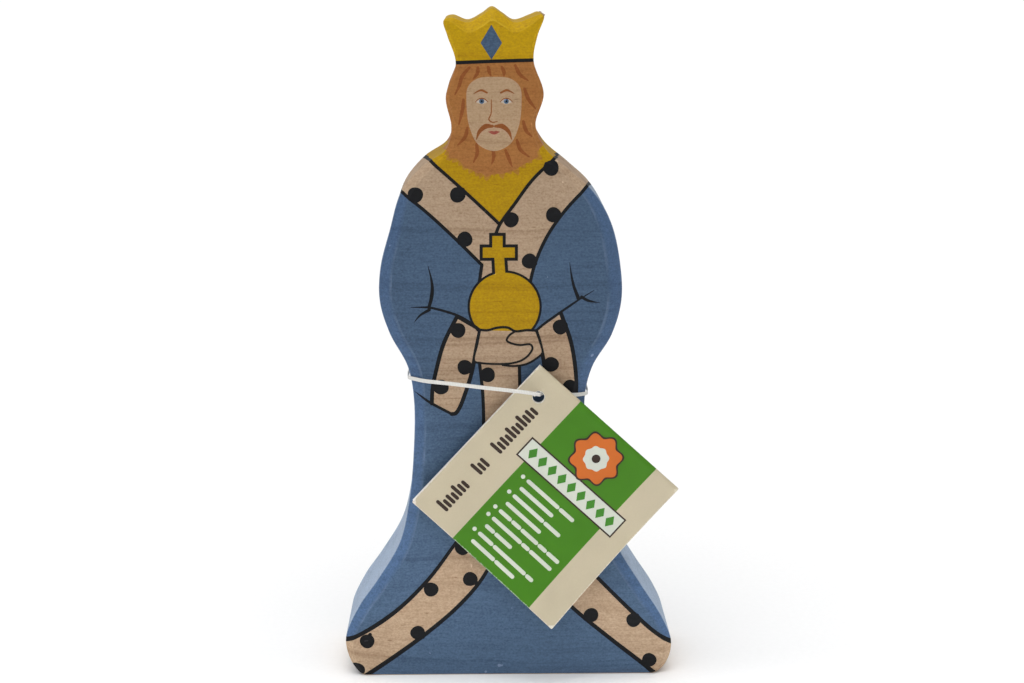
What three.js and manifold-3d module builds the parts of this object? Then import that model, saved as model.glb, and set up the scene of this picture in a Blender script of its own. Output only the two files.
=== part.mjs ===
// A flat wooden king figure, sawn from one maple block, with a folded card tag on an elastic loop round its waist.
// Millimetres, +Z up. The figure faces -Y and stands on z = 0, with the origin under the middle of its foot.
import * as THREE from "three";
import { mergeVertices } from "three/addons/utils/BufferGeometryUtils.js";
import Module from "manifold-3d";

// The block
const THICKNESS = 22;
const HALF = THICKNESS / 2;
const BEVEL_DEPTH_RATIO = 0.85; // depth of a sanded edge, as a share of its width
const BEVEL_POWER = 1.3; // above 1 the sanded edge runs out softly into the face
const BEVEL_STEPS = [1, 0.5, 0]; // rings of the sanded edge, from the flat face out to the side
const STEPS_PER_POINT = 4;
const CROWN_TOP = 126.9; // above this height the edge is sanded straight down, not square to the outline

// The elastic
const ELASTIC = 0.82;
const ELASTIC_SIDES = 8;
const LEFT_STEPS = 44;
const RIGHT_STEPS = 32;
const KNOT_SIZE = [3.2, 2.4, 2.2];
const KNOT_AT = [-1.5, 12.6, 60.2];
const KNOT_SIDES = 16;
const KNOT_ROWS = 10;
const TAIL_STEPS = 12;

// The card
const CARD_SIDE = 36.4;
const CARD_THICK = 0.3;
const LEAF_GAP = 0.3;
const CARD_TILT = THREE.MathUtils.degToRad(42.5);
const CARD_CORNER = [5.9, 63.5]; // x and z of the top corner
const CARD_BACK = -HALF - 1.6; // the elastic runs between the wood and the card
const HOLE = 2.3;
const HOLE_AT = [4.0, 4.8]; // from the fold's end along the fold, and square to it
const HOLE_SIDES = 24;
const BIGHT_AT = [5.97, 57.74]; // the elastic bears on the hole's upper rim
const BIGHT_FRONT = -14.9;
const BIGHT_BACK = -11.6;

// Outline of the block seen from the front: x, z and the width of the sanded edge.
// It starts at the left foot and runs up, over the crown and down the right side.
const OUTLINE = [
  [-28.2, -0.1, 0.4], [-30.3, 1.2, 1.0], [-32.0, 4.6, 1.5], [-32.2, 8.0, 1.8],
  [-29.5, 14.1, 2.1], [-25.8, 19.5, 2.2], [-21.4, 27.1, 2.3], [-19.4, 36.0, 2.4],
  [-18.5, 45.0, 2.4], [-18.3, 55.5, 2.5], [-19.4, 62.2, 2.6], [-22.8, 68.8, 2.7],
  [-24.6, 75.0, 2.7], [-24.4, 81.5, 2.6], [-22.5, 88.8, 2.4], [-20.2, 96.2, 2.0],
  [-16.3, 100.9, 1.6], [-11.7, 104.2, 1.1], [-10.7, 108.2, 0.8], [-11.7, 113.9, 0.7],
  [-9.8, 120.0, 0.6], [-11.3, 125.0, 0.5], [-12.0, 127.8, 0.2], [-10.6, 128.4, 0.9],
  [-7.6, 127.5, 2.0], [-4.9, 128.8, 2.2], [-3.0, 130.0, 2.3], [-1.1, 128.9, 2.2],
  [1.2, 127.5, 2.0], [4.4, 128.45, 1.3], [5.8, 128.95, 0.7], [6.5, 128.65, 0.2],
  [5.3, 125.0, 0.5], [4.6, 120.6, 0.6], [6.5, 114.4, 0.7], [5.0, 108.6, 0.8],
  [7.0, 104.1, 1.1], [11.8, 99.9, 1.6], [16.2, 95.8, 2.2], [19.5, 89.9, 2.8],
  [21.3, 82.0, 3.1], [21.6, 75.0, 3.1], [19.8, 68.4, 2.9], [16.1, 62.1, 2.7],
  [14.7, 56.0, 2.6], [15.3, 48.0, 2.5], [17.4, 37.0, 2.4], [21.2, 26.4, 2.3],
  [26.2, 18.0, 2.2], [30.2, 11.7, 1.9], [32.2, 6.8, 1.7], [31.9, 3.5, 1.4],
  [30.3, 0.9, 0.9], [28.0, -0.1, 0.4],
];

// The elastic's two runs, from the knot behind the back round the waist to the hole in the card: x, y, z.
const LEFT_RUN = [
  [-3.5, 12.4, 60.3], [-6, 11.9, 60.3], [-9, 11.75, 60.2], [-13, 11.75, 60.1], [-16.2, 11.7, 60],
  [-18.1, 10.4, 60], [-19.5, 8.9, 60], [-19.75, 7, 60], [-19.75, 3, 60], [-19.75, -3, 60],
  [-19.75, -7, 60], [-19.5, -8.9, 60.1], [-18.1, -10.5, 60.1], [-16.2, -11.9, 60.05], [-11, -13.35, 59.8],
  [-5, -14.8, 59.4], [0, -15.5, 58.95], [3, -15.4, 58.5], [5.1, -14.8, 58.05],
];
const RIGHT_RUN = [
  [0.4, 12.4, 60.1], [3, 11.95, 59.6], [6, 11.75, 59], [9, 11.75, 58.3], [12, 11.7, 57.7],
  [13.9, 10.5, 57.3], [15.3, 8.9, 57.1], [15.6, 7, 57], [15.6, 3, 56.9], [15.6, -3, 56.9],
  [15.6, -7, 56.9], [15.3, -8.9, 56.9], [13.9, -10.5, 57], [12.1, -11.75, 57.2], [10, -11.95, 57.4],
  [8.4, -11.95, 57.6], [6.8, -11.95, 57.75],
];
const TAILS = [[-4.2, 12.1, 56.4], [-2.6, 12.4, 58.6], [-1.5, 12.6, 60.2], [-0.6, 12.4, 58.4], [0.2, 12.1, 55.9]];

const COLOURS = {
  maple: { color: 0xb8987c, roughness: 0.55, metalness: 0 },
  elastic: { color: 0xe6e3dc, roughness: 0.8, metalness: 0 },
  cardOutside: { color: 0xc8b896, roughness: 0.5, metalness: 0 },
  cardInside: { color: 0xe2ddd0, roughness: 0.7, metalness: 0 },
};

const figure = new THREE.Group();
const wasm = await Module();
wasm.setup();

function addMesh(name, geometry, look, parent = figure) {
  const mesh = new THREE.Mesh(geometry, new THREE.MeshStandardMaterial(look));
  mesh.name = name;
  parent.add(mesh);
  return mesh;
}

// The outline as a closed centripetal spline, with the edge width carried as its third number and the
// foot cut flat at z = 0. Each sample gets its inner partner, where the sanded edge meets the face.
function outlineSamples() {
  const points = OUTLINE.map(([x, z, width]) => new THREE.Vector3(x, width, z));
  const curve = new THREE.CatmullRomCurve3(points, true, "centripetal");
  const steps = OUTLINE.length * STEPS_PER_POINT;
  const count = steps - STEPS_PER_POINT + 1; // the last span is the straight foot, which needs no steps
  const samples = Array.from({ length: count }, (_, i) => curve.getPoint(i / steps));
  samples.forEach((p) => (p.z = Math.max(p.z, 0)));
  return samples.map((p, i) => {
    const before = samples[(i + count - 1) % count];
    const after = samples[(i + 1) % count];
    const along = new THREE.Vector2(after.x - before.x, after.z - before.z).normalize();
    const inward = p.z > CROWN_TOP ? new THREE.Vector2(0, -1) : new THREE.Vector2(along.y, -along.x);
    return { x: p.x, z: p.z, width: p.y, inX: p.x + inward.x * p.y, inZ: p.z + inward.y * p.y };
  });
}

// One ring of the front edge: share 0 is the outline itself and share 1 the edge of the flat face.
function edgeRing(samples, share, side) {
  return samples.map((s) => {
    const depth = BEVEL_DEPTH_RATIO * s.width * (1 - share) ** BEVEL_POWER;
    const x = THREE.MathUtils.lerp(s.x, s.inX, share);
    const z = THREE.MathUtils.lerp(s.z, s.inZ, share);
    return new THREE.Vector3(x, side * (HALF - depth), z);
  });
}

// The block: a flat face at each end of a stack of rings, closed by walls from ring to ring.
function blockGeometry() {
  const samples = outlineSamples();
  const front = BEVEL_STEPS.map((share) => edgeRing(samples, share, -1));
  const back = [...BEVEL_STEPS].reverse().map((share) => edgeRing(samples, share, 1));
  const rings = [...front, ...back];
  const count = samples.length;
  const triangles = [];
  for (let k = 0; k + 1 < rings.length; k++)
    for (let i = 0; i < count; i++) {
      const j = (i + 1) % count;
      const [a, b, c, d] = [rings[k][i], rings[k][j], rings[k + 1][j], rings[k + 1][i]];
      triangles.push([a, b, c], [a, c, d]);
    }
  const flat = (ring) => ring.map((p) => new THREE.Vector2(p.x, p.z));
  const first = rings[0];
  const last = rings[rings.length - 1];
  const faces = THREE.ShapeUtils.triangulateShape(flat(first), []);
  faces.forEach(([a, b, c]) => triangles.push([first[a], first[b], first[c]], [last[c], last[b], last[a]]));
  return facingOut(triangles);
}

// Triangles as a geometry, all turned round if the solid they close is inside out.
function facingOut(triangles) {
  const sixVolume = triangles.reduce((sum, [a, b, c]) => sum + a.dot(b.clone().cross(c)), 0);
  const ordered = sixVolume < 0 ? triangles.map(([a, b, c]) => [a, c, b]) : triangles;
  return new THREE.BufferGeometry().setFromPoints(ordered.flat());
}

function vectors(points) {
  return points.map((p) => new THREE.Vector3(...p));
}

function circle(radius, sides, x = 0, y = 0) {
  const corners = Array.from({ length: sides }, (_, i) => {
    const angle = (i / sides) * 2 * Math.PI;
    return new THREE.Vector2(x + radius * Math.cos(angle), y + radius * Math.sin(angle));
  });
  return new THREE.Shape(corners);
}

function tubeAlong(points, steps) {
  const path = new THREE.CatmullRomCurve3(vectors(points), false, "centripetal");
  const section = circle(ELASTIC / 2, ELASTIC_SIDES);
  return new THREE.ExtrudeGeometry(section, { steps, extrudePath: path });
}

function solidOf(geometry) {
  const bare = geometry.clone();
  bare.deleteAttribute("normal");
  bare.deleteAttribute("uv");
  const merged = mergeVertices(bare);
  const vertProperties = merged.attributes.position.array;
  const triVerts = new Uint32Array(merged.index.array);
  return new wasm.Manifold(new wasm.Mesh({ numProp: 3, vertProperties, triVerts }));
}

function geometryOf(solid) {
  const { vertProperties, triVerts } = solid.getMesh();
  return new THREE.BufferGeometry()
    .setAttribute("position", new THREE.BufferAttribute(vertProperties, 3))
    .setIndex(new THREE.BufferAttribute(triVerts, 1));
}

// The knot is a small egg with the two cut ends of the elastic hanging from it.
function knotGeometry() {
  const egg = new THREE.SphereGeometry(1 / 2, KNOT_SIDES, KNOT_ROWS).scale(...KNOT_SIZE).translate(...KNOT_AT);
  return geometryOf(solidOf(egg).add(solidOf(tubeAlong(TAILS, TAIL_STEPS))));
}

// The bit of elastic that passes through the card, from in front of it to behind it.
function bightGeometry() {
  const length = BIGHT_BACK - BIGHT_FRONT;
  const [x, z] = BIGHT_AT;
  return new THREE.CylinderGeometry(ELASTIC / 2, ELASTIC / 2, length, ELASTIC_SIDES)
    .translate(x, (BIGHT_BACK + BIGHT_FRONT) / 2, z);
}

// One leaf of the card, lying in the group's xz plane with the top corner at its origin and the fold along x.
function leafGeometry() {
  const leaf = new THREE.Shape([
    new THREE.Vector2(0, 0),
    new THREE.Vector2(CARD_SIDE, 0),
    new THREE.Vector2(CARD_SIDE, -CARD_SIDE),
    new THREE.Vector2(0, -CARD_SIDE),
  ]);
  leaf.holes.push(circle(HOLE / 2, HOLE_SIDES, HOLE_AT[0], -HOLE_AT[1]));
  return new THREE.ExtrudeGeometry(leaf, { depth: CARD_THICK, bevelEnabled: false }).rotateX(Math.PI / 2);
}

addMesh("wooden_figure", blockGeometry(), COLOURS.maple);
addMesh("elastic_left", tubeAlong(LEFT_RUN, LEFT_STEPS), COLOURS.elastic);
addMesh("elastic_right", tubeAlong(RIGHT_RUN, RIGHT_STEPS), COLOURS.elastic);
addMesh("elastic_bight", bightGeometry(), COLOURS.elastic);
addMesh("elastic_knot", knotGeometry(), COLOURS.elastic);

const card = new THREE.Group();
card.position.set(CARD_CORNER[0], CARD_BACK, CARD_CORNER[1]);
card.rotation.y = CARD_TILT;
figure.add(card);
addMesh("tag_back_leaf", leafGeometry(), COLOURS.cardInside, card);
const frontLeaf = addMesh("tag_front_leaf", leafGeometry(), COLOURS.cardOutside, card);
frontLeaf.position.y = -CARD_THICK - LEAF_GAP;

export default figure;
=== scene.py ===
import math

import bpy
import numpy as np
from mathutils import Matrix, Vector
from mathutils.geometry import delaunay_2d_cdt


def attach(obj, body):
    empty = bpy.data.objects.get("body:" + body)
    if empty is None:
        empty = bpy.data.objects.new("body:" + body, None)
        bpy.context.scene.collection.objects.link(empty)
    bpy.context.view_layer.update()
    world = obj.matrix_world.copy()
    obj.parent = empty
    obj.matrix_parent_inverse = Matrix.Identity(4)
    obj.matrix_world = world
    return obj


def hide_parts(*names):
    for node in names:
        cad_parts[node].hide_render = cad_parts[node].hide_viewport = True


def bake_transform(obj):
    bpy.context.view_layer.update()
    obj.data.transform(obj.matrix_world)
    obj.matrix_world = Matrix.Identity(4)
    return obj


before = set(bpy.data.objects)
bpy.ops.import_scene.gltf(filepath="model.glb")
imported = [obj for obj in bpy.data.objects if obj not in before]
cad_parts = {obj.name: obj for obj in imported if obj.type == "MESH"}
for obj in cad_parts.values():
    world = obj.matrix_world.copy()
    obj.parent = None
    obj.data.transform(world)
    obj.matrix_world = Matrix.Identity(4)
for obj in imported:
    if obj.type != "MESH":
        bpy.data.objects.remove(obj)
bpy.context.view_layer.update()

# A flat wooden king with a folded card tag on an elastic loop. The king faces -Y, and X runs to the right of
# Sizes and places are millimetres, and new_piece turns them into metres. The floor and the lights are in
# metres from the start.
MM = 0.001

# ---------------------------------------------------------------- the wooden block

HALF = 11.0  # half the board's thickness
BEVEL_RATIO = 0.85  # how deep the sanded edge goes, as a share of its width
BEVEL_POWER = 1.3  # how round it is: 1 is a plain slope
ARRIS = 0.16  # the last sharpness taken off with fine paper
ARRIS_TURN = np.radians([0, 30, 60, 90])  # the side wall's first rows turn through a quarter round
ARRIS_DROP = 0.3  # and drop this far back as they do
WALL_STEPS = 4  # even rows from there to the middle of the board
SHOULDER_SLIDE = 1.15  # how far painted edges slide along the shoulder on their way over the side wall
SHOULDER_HEIGHTS = (84, 92, 104, 107)  # the slide grows between the first two and fades between the last two
FOOT_HEIGHT = 0.4  # side wall tiles below this belong to the foot, which is bare
FOOT_FADE = 2.5  # the sanded edge's look fades out this far above the foot
SKIN_THICK = 0.12  # each coat, and the bare wood between coats, is a shell this thick over the core
CORE_INSET = 0.3  # how far in the core lies from the painted surface
BARE = "bare"  # the coat that is no coat

OUTLINE_STEPS = 10  # samples from one point of the outline to the next
RING_SHARES = (0.25, 0.4, 0.55, 0.7, 0.82, 0.92, 1.0, 1.12)  # of the sanded edge's width, for rows of corners
RING_LEAST = ARRIS * 1.6  # no ring lies nearer the outline than this
TILE = 2.5  # the plain grid's step on the flat of a face
CUT_STEP = 0.8  # the longest stretch of a cut line without a corner
SAME_PLACE = 2000  # corners that agree to one part in this many of a millimetre are one

# The sawn outline from the front: x, z and the width of the sanded edge, from the left foot over the crown.
OUTLINE = [
    (-28.2, -0.1, 0.4), (-30.3, 1.2, 1.0), (-32.0, 4.6, 1.5), (-32.2, 8.0, 1.8),
    (-29.5, 14.1, 2.1), (-25.8, 19.5, 2.2), (-21.4, 27.1, 2.3), (-19.4, 36.0, 2.4),
    (-18.5, 45.0, 2.4), (-18.3, 55.5, 2.5), (-19.4, 62.2, 2.6), (-22.8, 68.8, 2.7),
    (-24.6, 75.0, 2.7), (-24.4, 81.5, 2.6), (-22.5, 88.8, 2.4), (-20.2, 96.2, 2.0),
    (-16.3, 100.9, 1.6), (-11.7, 104.2, 1.1), (-10.7, 108.2, 0.8), (-11.7, 113.9, 0.7),
    (-9.8, 120.0, 0.6), (-11.3, 125.0, 0.5), (-12.0, 127.8, 0.2), (-10.6, 128.4, 0.9),
    (-7.6, 127.5, 2.0), (-4.9, 128.8, 2.2), (-3.0, 130.0, 2.3), (-1.1, 128.9, 2.2),
    (1.2, 127.5, 2.0), (4.4, 128.45, 1.3), (5.8, 128.95, 0.7), (6.5, 128.65, 0.2),
    (5.3, 125.0, 0.5), (4.6, 120.6, 0.6), (6.5, 114.4, 0.7), (5.0, 108.6, 0.8),
    (7.0, 104.1, 1.1), (11.8, 99.9, 1.6), (16.2, 95.8, 2.2), (19.5, 89.9, 2.8),
    (21.3, 82.0, 3.1), (21.6, 75.0, 3.1), (19.8, 68.4, 2.9), (16.1, 62.1, 2.7),
    (14.7, 56.0, 2.6), (15.3, 48.0, 2.5), (17.4, 37.0, 2.4), (21.2, 26.4, 2.3),
    (26.2, 18.0, 2.2), (30.2, 11.7, 1.9), (32.2, 6.8, 1.7), (31.9, 3.5, 1.4),
    (30.3, 0.9, 0.9), (28.0, -0.1, 0.4),
]
CROWN_FROM, CROWN_TO = 22, 31  # points of the outline between which the crown's top runs
LEFTMOST, RIGHTMOST, TALLEST = -31, 32, 130  # whole millimetres that the grid of tiles has to span

# ---------------------------------------------------------------- the elastic and the card

ELASTIC = 0.74  # the cord's width
CORD_STEPS = 6  # samples from one point of a run to the next
PLY_WAIST, PLY_SWELL = 0.3, 1.3  # a two-ply cord's thickness between its plies, and what each ply adds
CAP_RISE = 1 / 6  # how far a cut end's middle stands out, as a share of the width

# Each strand's middle line from the knot round the waist to the card. Both lie close on the wood.
LEFT_RUN = [
    (-3.5, 12.4, 60.3), (-6, 11.75, 60.3), (-9, 11.45, 60.2), (-13, 11.4, 60.1), (-16.2, 11.35, 60),
    (-18.0, 10.15, 60), (-19.2, 8.75, 60), (-19.45, 7, 60), (-19.45, 3, 60), (-19.45, -3, 60),
    (-19.45, -7, 60), (-19.2, -8.75, 60.1), (-18.0, -10.2, 60.15), (-16.2, -11.6, 60.1), (-11, -13.25, 59.9),
    (-5, -14.8, 59.5), (0, -15.55, 59.1), (3, -15.4, 58.7), (5.1, -14.8, 58.2),
]
RIGHT_RUN = [
    (0.4, 12.4, 60.1), (3, 11.75, 59.6), (6, 11.45, 59), (9, 11.4, 58.3), (12, 11.4, 57.7),
    (13.8, 10.25, 57.3), (15.05, 8.75, 57.1), (15.3, 7, 57), (15.3, 3, 56.9), (15.3, -3, 56.9),
    (15.3, -7, 56.9), (15.05, -8.75, 56.9), (13.8, -10.25, 57), (12.1, -11.45, 57.2), (10, -11.8, 57.4),
    (8.4, -11.95, 57.6), (6.8, -11.95, 57.75),
]
HOLE_PASS = [
    (4.6, -14.9, 58.08), LEFT_RUN[-1], (5.75, -14.2, 57.95), (5.97, -13.1, 57.8), (6.15, -12.35, 57.75),
    RIGHT_RUN[-1],
]
KNOT_AT = (-1.5, 12.6, 60.2)
KNOT_SIZE = (0.45, 0.42, 0.3)  # what the knot's line is multiplied by along x, y and z
KNOT_TAILS = [
    [(-1.9, 12.6, 60.0), (-2.9, 12.7, 58.8), (-3.6, 12.4, 57.4), (-4.2, 12.1, 56.4)],
    [(-1.1, 12.6, 60.0), (-0.5, 12.6, 58.6), (0.0, 12.4, 57.2), (0.2, 12.1, 55.9)],
]
KNOT_CORD = ELASTIC * 0.9  # pulled tight, the cord is thinner

CARD_SIDE = 36.4
CARD_THICK = 0.3
CARD_TILT = math.radians(42.5)
CARD_CORNER = (5.9, 63.5)  # x and z of the top corner
CARD_MIDDLE = -13.05  # y of the plane between the two leaves
CORNER_NICK = 0.12  # the card's corners are only just blunt
FOLD_RADIUS = 0.3
FOLD_LINES = 9  # cuts along the fold, so that it bends round
HALF_TURN = math.pi * FOLD_RADIUS / 2  # from the fold's middle line to where a leaf starts
FOLD_BACK = FOLD_RADIUS + CARD_THICK / 2  # how far that start sits in from the card's top edge
ALONG_FOLD = np.array([math.cos(CARD_TILT), 0, -math.sin(CARD_TILT)])
OFF_FOLD = np.array([-math.sin(CARD_TILT), 0, -math.cos(CARD_TILT)])
BACKWARD = np.array([0, 1, 0])
HOLE_RADIUS = 1.15
HOLE_RIM = 0.07  # the white ring that the punch leaves round a hole
HOLE_AT = (4.0, 4.8)  # along the fold and square to it, from the top corner
LEAF_BOW = 0.4  # how far the front leaf's free edge stands out
CORNER_CURL = 4.0  # how much further its lower corner curls
CURL_POWER = 1.5  # how late along the fold the curl sets in
BACK_BOW = 0.3  # how far the back leaf's free edge stands back
GREEN_FROM, GREEN_TO = 10.5, 30.4  # where the green band runs, along the fold
CARD_TILE = 2.0  # the step of the card's grid of corners
EDGE_RUB, FOLD_RUB = 0.35, 0.2  # how far in from the card's edges and its fold the rubbing fades

# ---------------------------------------------------------------- colours, as linear light values


def srgb(red, green, blue):
    """An everyday 0 to 255 colour as linear light: ((c / 255 + 0.055) / 1.055) to the power 2.4."""
    c = np.array([red, green, blue]) / 255
    return tuple(np.where(c < 0.04045, c / 12.92, ((c + 0.055) / 1.055) ** 2.4)) + (1.0,)


# Each coat's pale and dark tones, and what it wears to.
MAPLE_TONES = srgb(196, 171, 144), srgb(160, 133, 106), srgb(214, 192, 166)
BLUE_TONES = srgb(84, 108, 136), srgb(61, 80, 104), srgb(130, 148, 176)
GOWN_TONES = srgb(196, 156, 8), srgb(162, 124, 4), srgb(214, 176, 50)
CROWN_TONES = srgb(214, 174, 10), srgb(180, 140, 6), srgb(232, 196, 56)
BLACK_TONES = srgb(27, 28, 31), srgb(11, 12, 15), srgb(70, 70, 74)
HAIR_TONES = srgb(182, 124, 68), srgb(152, 97, 48), srgb(196, 146, 98)
THIN_HAIR_TONES = srgb(186, 138, 52), srgb(158, 108, 34), srgb(205, 160, 120)
STROKE_TONES = srgb(156, 92, 48), srgb(132, 72, 34), srgb(190, 130, 90)
SKIN_TONES = srgb(198, 168, 134), srgb(170, 140, 108), srgb(232, 205, 178)
EYE_TONES = srgb(206, 196, 182), srgb(186, 174, 158), srgb(240, 238, 232)
LIP_TONES = srgb(170, 88, 76), srgb(148, 70, 60), srgb(200, 120, 110)

# the darker elastic colour is painted shade in the braid's grooves, mixed with lint
ELASTIC_SHADE_AND_LINT, ELASTIC_PALE = srgb(196, 194, 188), srgb(236, 235, 231)
PAPER_WHITE = srgb(240, 238, 232)
CARD_CREAM = srgb(189, 178, 153)
CARD_GREEN = srgb(63, 119, 18)
INK_DARK = srgb(52, 38, 32)
INK_GREEN = srgb(62, 126, 38)
INK_ORANGE = srgb(196, 102, 38)
INK_WHITE = srgb(202, 206, 194)
FLOOR_DARK, FLOOR_PALE = srgb(242, 242, 242), srgb(248, 248, 248)

# ---------------------------------------------------------------- camera

CAMERA_DISTANCE = 340.0
CAMERA_RISE = math.radians(12)
CAMERA_TURN = math.radians(1.0)  # a little to the king's right
CAMERA_AIM = (0.59, -11.0, 67.6)
CAMERA_LENS = 62.7


def make_camera():
    """The camera stands at the aim less the distance along its own line of sight."""
    sight = Vector((
        math.sin(CAMERA_TURN) * math.cos(CAMERA_RISE),
        math.cos(CAMERA_TURN) * math.cos(CAMERA_RISE),
        -math.sin(CAMERA_RISE),
    ))
    data = bpy.data.cameras.new("camera")
    data.lens = CAMERA_LENS
    data.sensor_width = 36
    data.clip_start = 0.01
    camera = bpy.data.objects.new("camera", data)
    camera.location = (Vector(CAMERA_AIM) - sight * CAMERA_DISTANCE) * MM
    camera.rotation_euler = sight.to_track_quat("-Z", "Y").to_euler()
    bpy.context.collection.objects.link(camera)
    bpy.context.scene.camera = camera


make_camera()

# ---------------------------------------------------------------- curves and meshes


def spline(points, steps, closed=False):
    """A centripetal Catmull-Rom curve: each span is a cubic between two points, and its end slopes come from
    the neighbouring points, shared out by the square roots of the distances between them."""
    p = np.asarray(points, float)
    q = np.vstack([p[-1:], p, p[:2]]) if closed else np.vstack([2 * p[0] - p[1], p, 2 * p[-1] - p[-2]])
    p0, p1, p2, p3 = q[:-3], q[1:-2], q[2:-1], q[3:]
    d0, d1, d2 = (
        np.sqrt(np.maximum(np.linalg.norm(b - a, axis=1, keepdims=True), 1e-6))
        for a, b in ((p0, p1), (p1, p2), (p2, p3))
    )
    m1 = ((p1 - p0) / d0 - (p2 - p0) / (d0 + d1) + (p2 - p1) / d1) * d1
    m2 = ((p2 - p1) / d1 - (p3 - p1) / (d1 + d2) + (p3 - p2) / d2) * d1
    t = np.linspace(0, 1, steps, endpoint=False).reshape(1, -1, 1)
    p1, p2, m1, m2 = (v[:, None, :] for v in (p1, p2, m1, m2))
    curve = (
        (2 * t**3 - 3 * t**2 + 1) * p1 + (t**3 - 2 * t**2 + t) * m1
        + (3 * t**2 - 2 * t**3) * p2 + (t**3 - t**2) * m2
    ).reshape(-1, p.shape[1])
    return curve if closed else np.vstack([curve, p[-1:]])


def unit(v):
    """Each vector made one long."""
    return v / np.maximum(np.linalg.norm(v, axis=-1, keepdims=True), 1e-12)


def new_piece(name, verts, faces, material, attributes=None, uv=None, sharp=math.radians(40)):
    """A smooth-shaded mesh in metres from millimetre vertices, with named per-vertex numbers and, where
    asked, one UV per vertex. Edges that turn by more than the sharp angle are kept crisp."""
    mesh = bpy.data.meshes.new(name)
    mesh.from_pydata((np.asarray(verts, float) * MM).tolist(), [], np.asarray(faces).tolist())
    mesh.validate()
    mesh.shade_smooth()
    if sharp:
        mesh.set_sharp_from_angle(angle=sharp)
    for key, values in (attributes or {}).items():
        attribute = mesh.attributes.new(key, "FLOAT", "POINT")
        attribute.data.foreach_set("value", np.asarray(values, np.float32))
    if uv is not None:
        corners = np.empty(len(mesh.loops), np.int32)
        mesh.loops.foreach_get("vertex_index", corners)
        mesh.uv_layers.new(name="run").data.foreach_set("uv", np.asarray(uv, np.float32)[corners].ravel())
    piece = bpy.data.objects.new(name, mesh)
    bpy.context.collection.objects.link(piece)
    mesh.materials.append(material)
    return piece


def rim_edges(faces):
    """The directed edges that only one triangle uses, and the triangle that each belongs to."""
    edges = np.vstack([faces[:, [0, 1]], faces[:, [1, 2]], faces[:, [2, 0]]])
    owner = np.tile(np.arange(len(faces)), 3)
    base = int(edges.max()) + 1
    alone = ~np.isin(edges[:, 0] * base + edges[:, 1], edges[:, 1] * base + edges[:, 0])
    return edges[alone], owner[alone]


def thicken(verts, faces, outward, thickness):
    """Closes an open sheet into a thin solid: a second copy set back along the outward directions, turned
    over, and walls along every rim edge. The copy's vertices come after the first ones."""
    count = len(verts)
    rim, _ = rim_edges(faces)
    a, b = rim[:, 0], rim[:, 1]
    walls = np.vstack([np.c_[b, a, a + count], np.c_[b, a + count, b + count]])
    return np.vstack([verts, verts - outward * thickness]), np.vstack([faces, faces[:, ::-1] + count, walls])


def compact(faces):
    """The corners that some triangles use, and the same triangles renumbered to them."""
    used, faces_again = np.unique(faces, return_inverse=True)
    return used, faces_again.reshape(-1, 3)


def corner_normals(verts, faces):
    """Each corner's outward direction: the sum of its triangles' cross products, made one long."""
    a, b, c = (verts[faces[:, k]] for k in range(3))
    cross = np.cross(b - a, c - a)
    total = np.zeros_like(verts)
    for k in range(3):
        np.add.at(total, faces[:, k], cross)
    return unit(total)


INSIDE_AT_ONCE = 4000  # points that are looked at together, to spare memory


def inside(points, polygon):
    """True where the polygon winds round the point: upward crossings to its right less downward ones."""
    hit = np.zeros(len(points), bool)
    low, high = polygon.min(0), polygon.max(0)
    near = np.flatnonzero(((points > low) & (points < high)).all(1))
    a, b = polygon, np.roll(polygon, -1, 0)
    for part in np.array_split(near, max(1, len(near) // INSIDE_AT_ONCE)):
        x, z = points[part, 0, None], points[part, 1, None]
        side = (b[:, 0] - a[:, 0]) * (z - a[:, 1]) - (x - a[:, 0]) * (b[:, 1] - a[:, 1])
        up = (a[:, 1] <= z) & (b[:, 1] > z) & (side > 0)
        down = (a[:, 1] > z) & (b[:, 1] <= z) & (side < 0)
        hit[part] = up.sum(1) != down.sum(1)
    return hit


def finely(run, closed):
    """The same run of points with more put in, evenly, wherever two are further apart than the cut step."""
    ends = np.roll(run, -1, 0) if closed else run[1:]
    starts = run if closed else run[:-1]
    counts = np.maximum(1, np.ceil(np.linalg.norm(ends - starts, axis=1) / CUT_STEP - 1e-6)).astype(int)
    index = np.repeat(np.arange(len(starts)), counts)
    share = (np.arange(len(index)) - np.repeat(np.cumsum(counts) - counts, counts)) / counts[index]
    filled = starts[index] + (ends - starts)[index] * share[:, None]
    return filled if closed else np.vstack([filled, run[-1:]])


def cut_flat(loops, guides, lines=()):
    """Cuts a flat view into triangles that turn anticlockwise, along every loop and line and through the
    guide points. Returns the corners and the triangles."""
    runs = [(finely(loop, True), True) for loop in loops] + [(finely(line, False), False) for line in lines]
    starts = np.cumsum([0] + [len(run) for run, _ in runs])
    edges = []
    for start, (run, closed) in zip(starts, runs):
        order = start + np.arange(len(run) + 1) % len(run)
        edges += np.c_[order[:-1], order[1:]][: len(run) - (not closed)].tolist()
    points = np.vstack([*(run for run, _ in runs), guides])
    cut = delaunay_2d_cdt([Vector(p) for p in points.tolist()], edges, [], 0, 1e-5, False)
    corners = np.array(cut[0])
    triangles = np.array([f for f in cut[2] if len(f) == 3])
    a, b, c = (corners[triangles[:, k]] for k in range(3))
    turn = (b[:, 0] - a[:, 0]) * (c[:, 1] - a[:, 1]) - (c[:, 0] - a[:, 0]) * (b[:, 1] - a[:, 1])
    triangles[turn < 0] = triangles[turn < 0][:, ::-1]
    return corners, triangles[np.abs(turn) > 1e-9]


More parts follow.
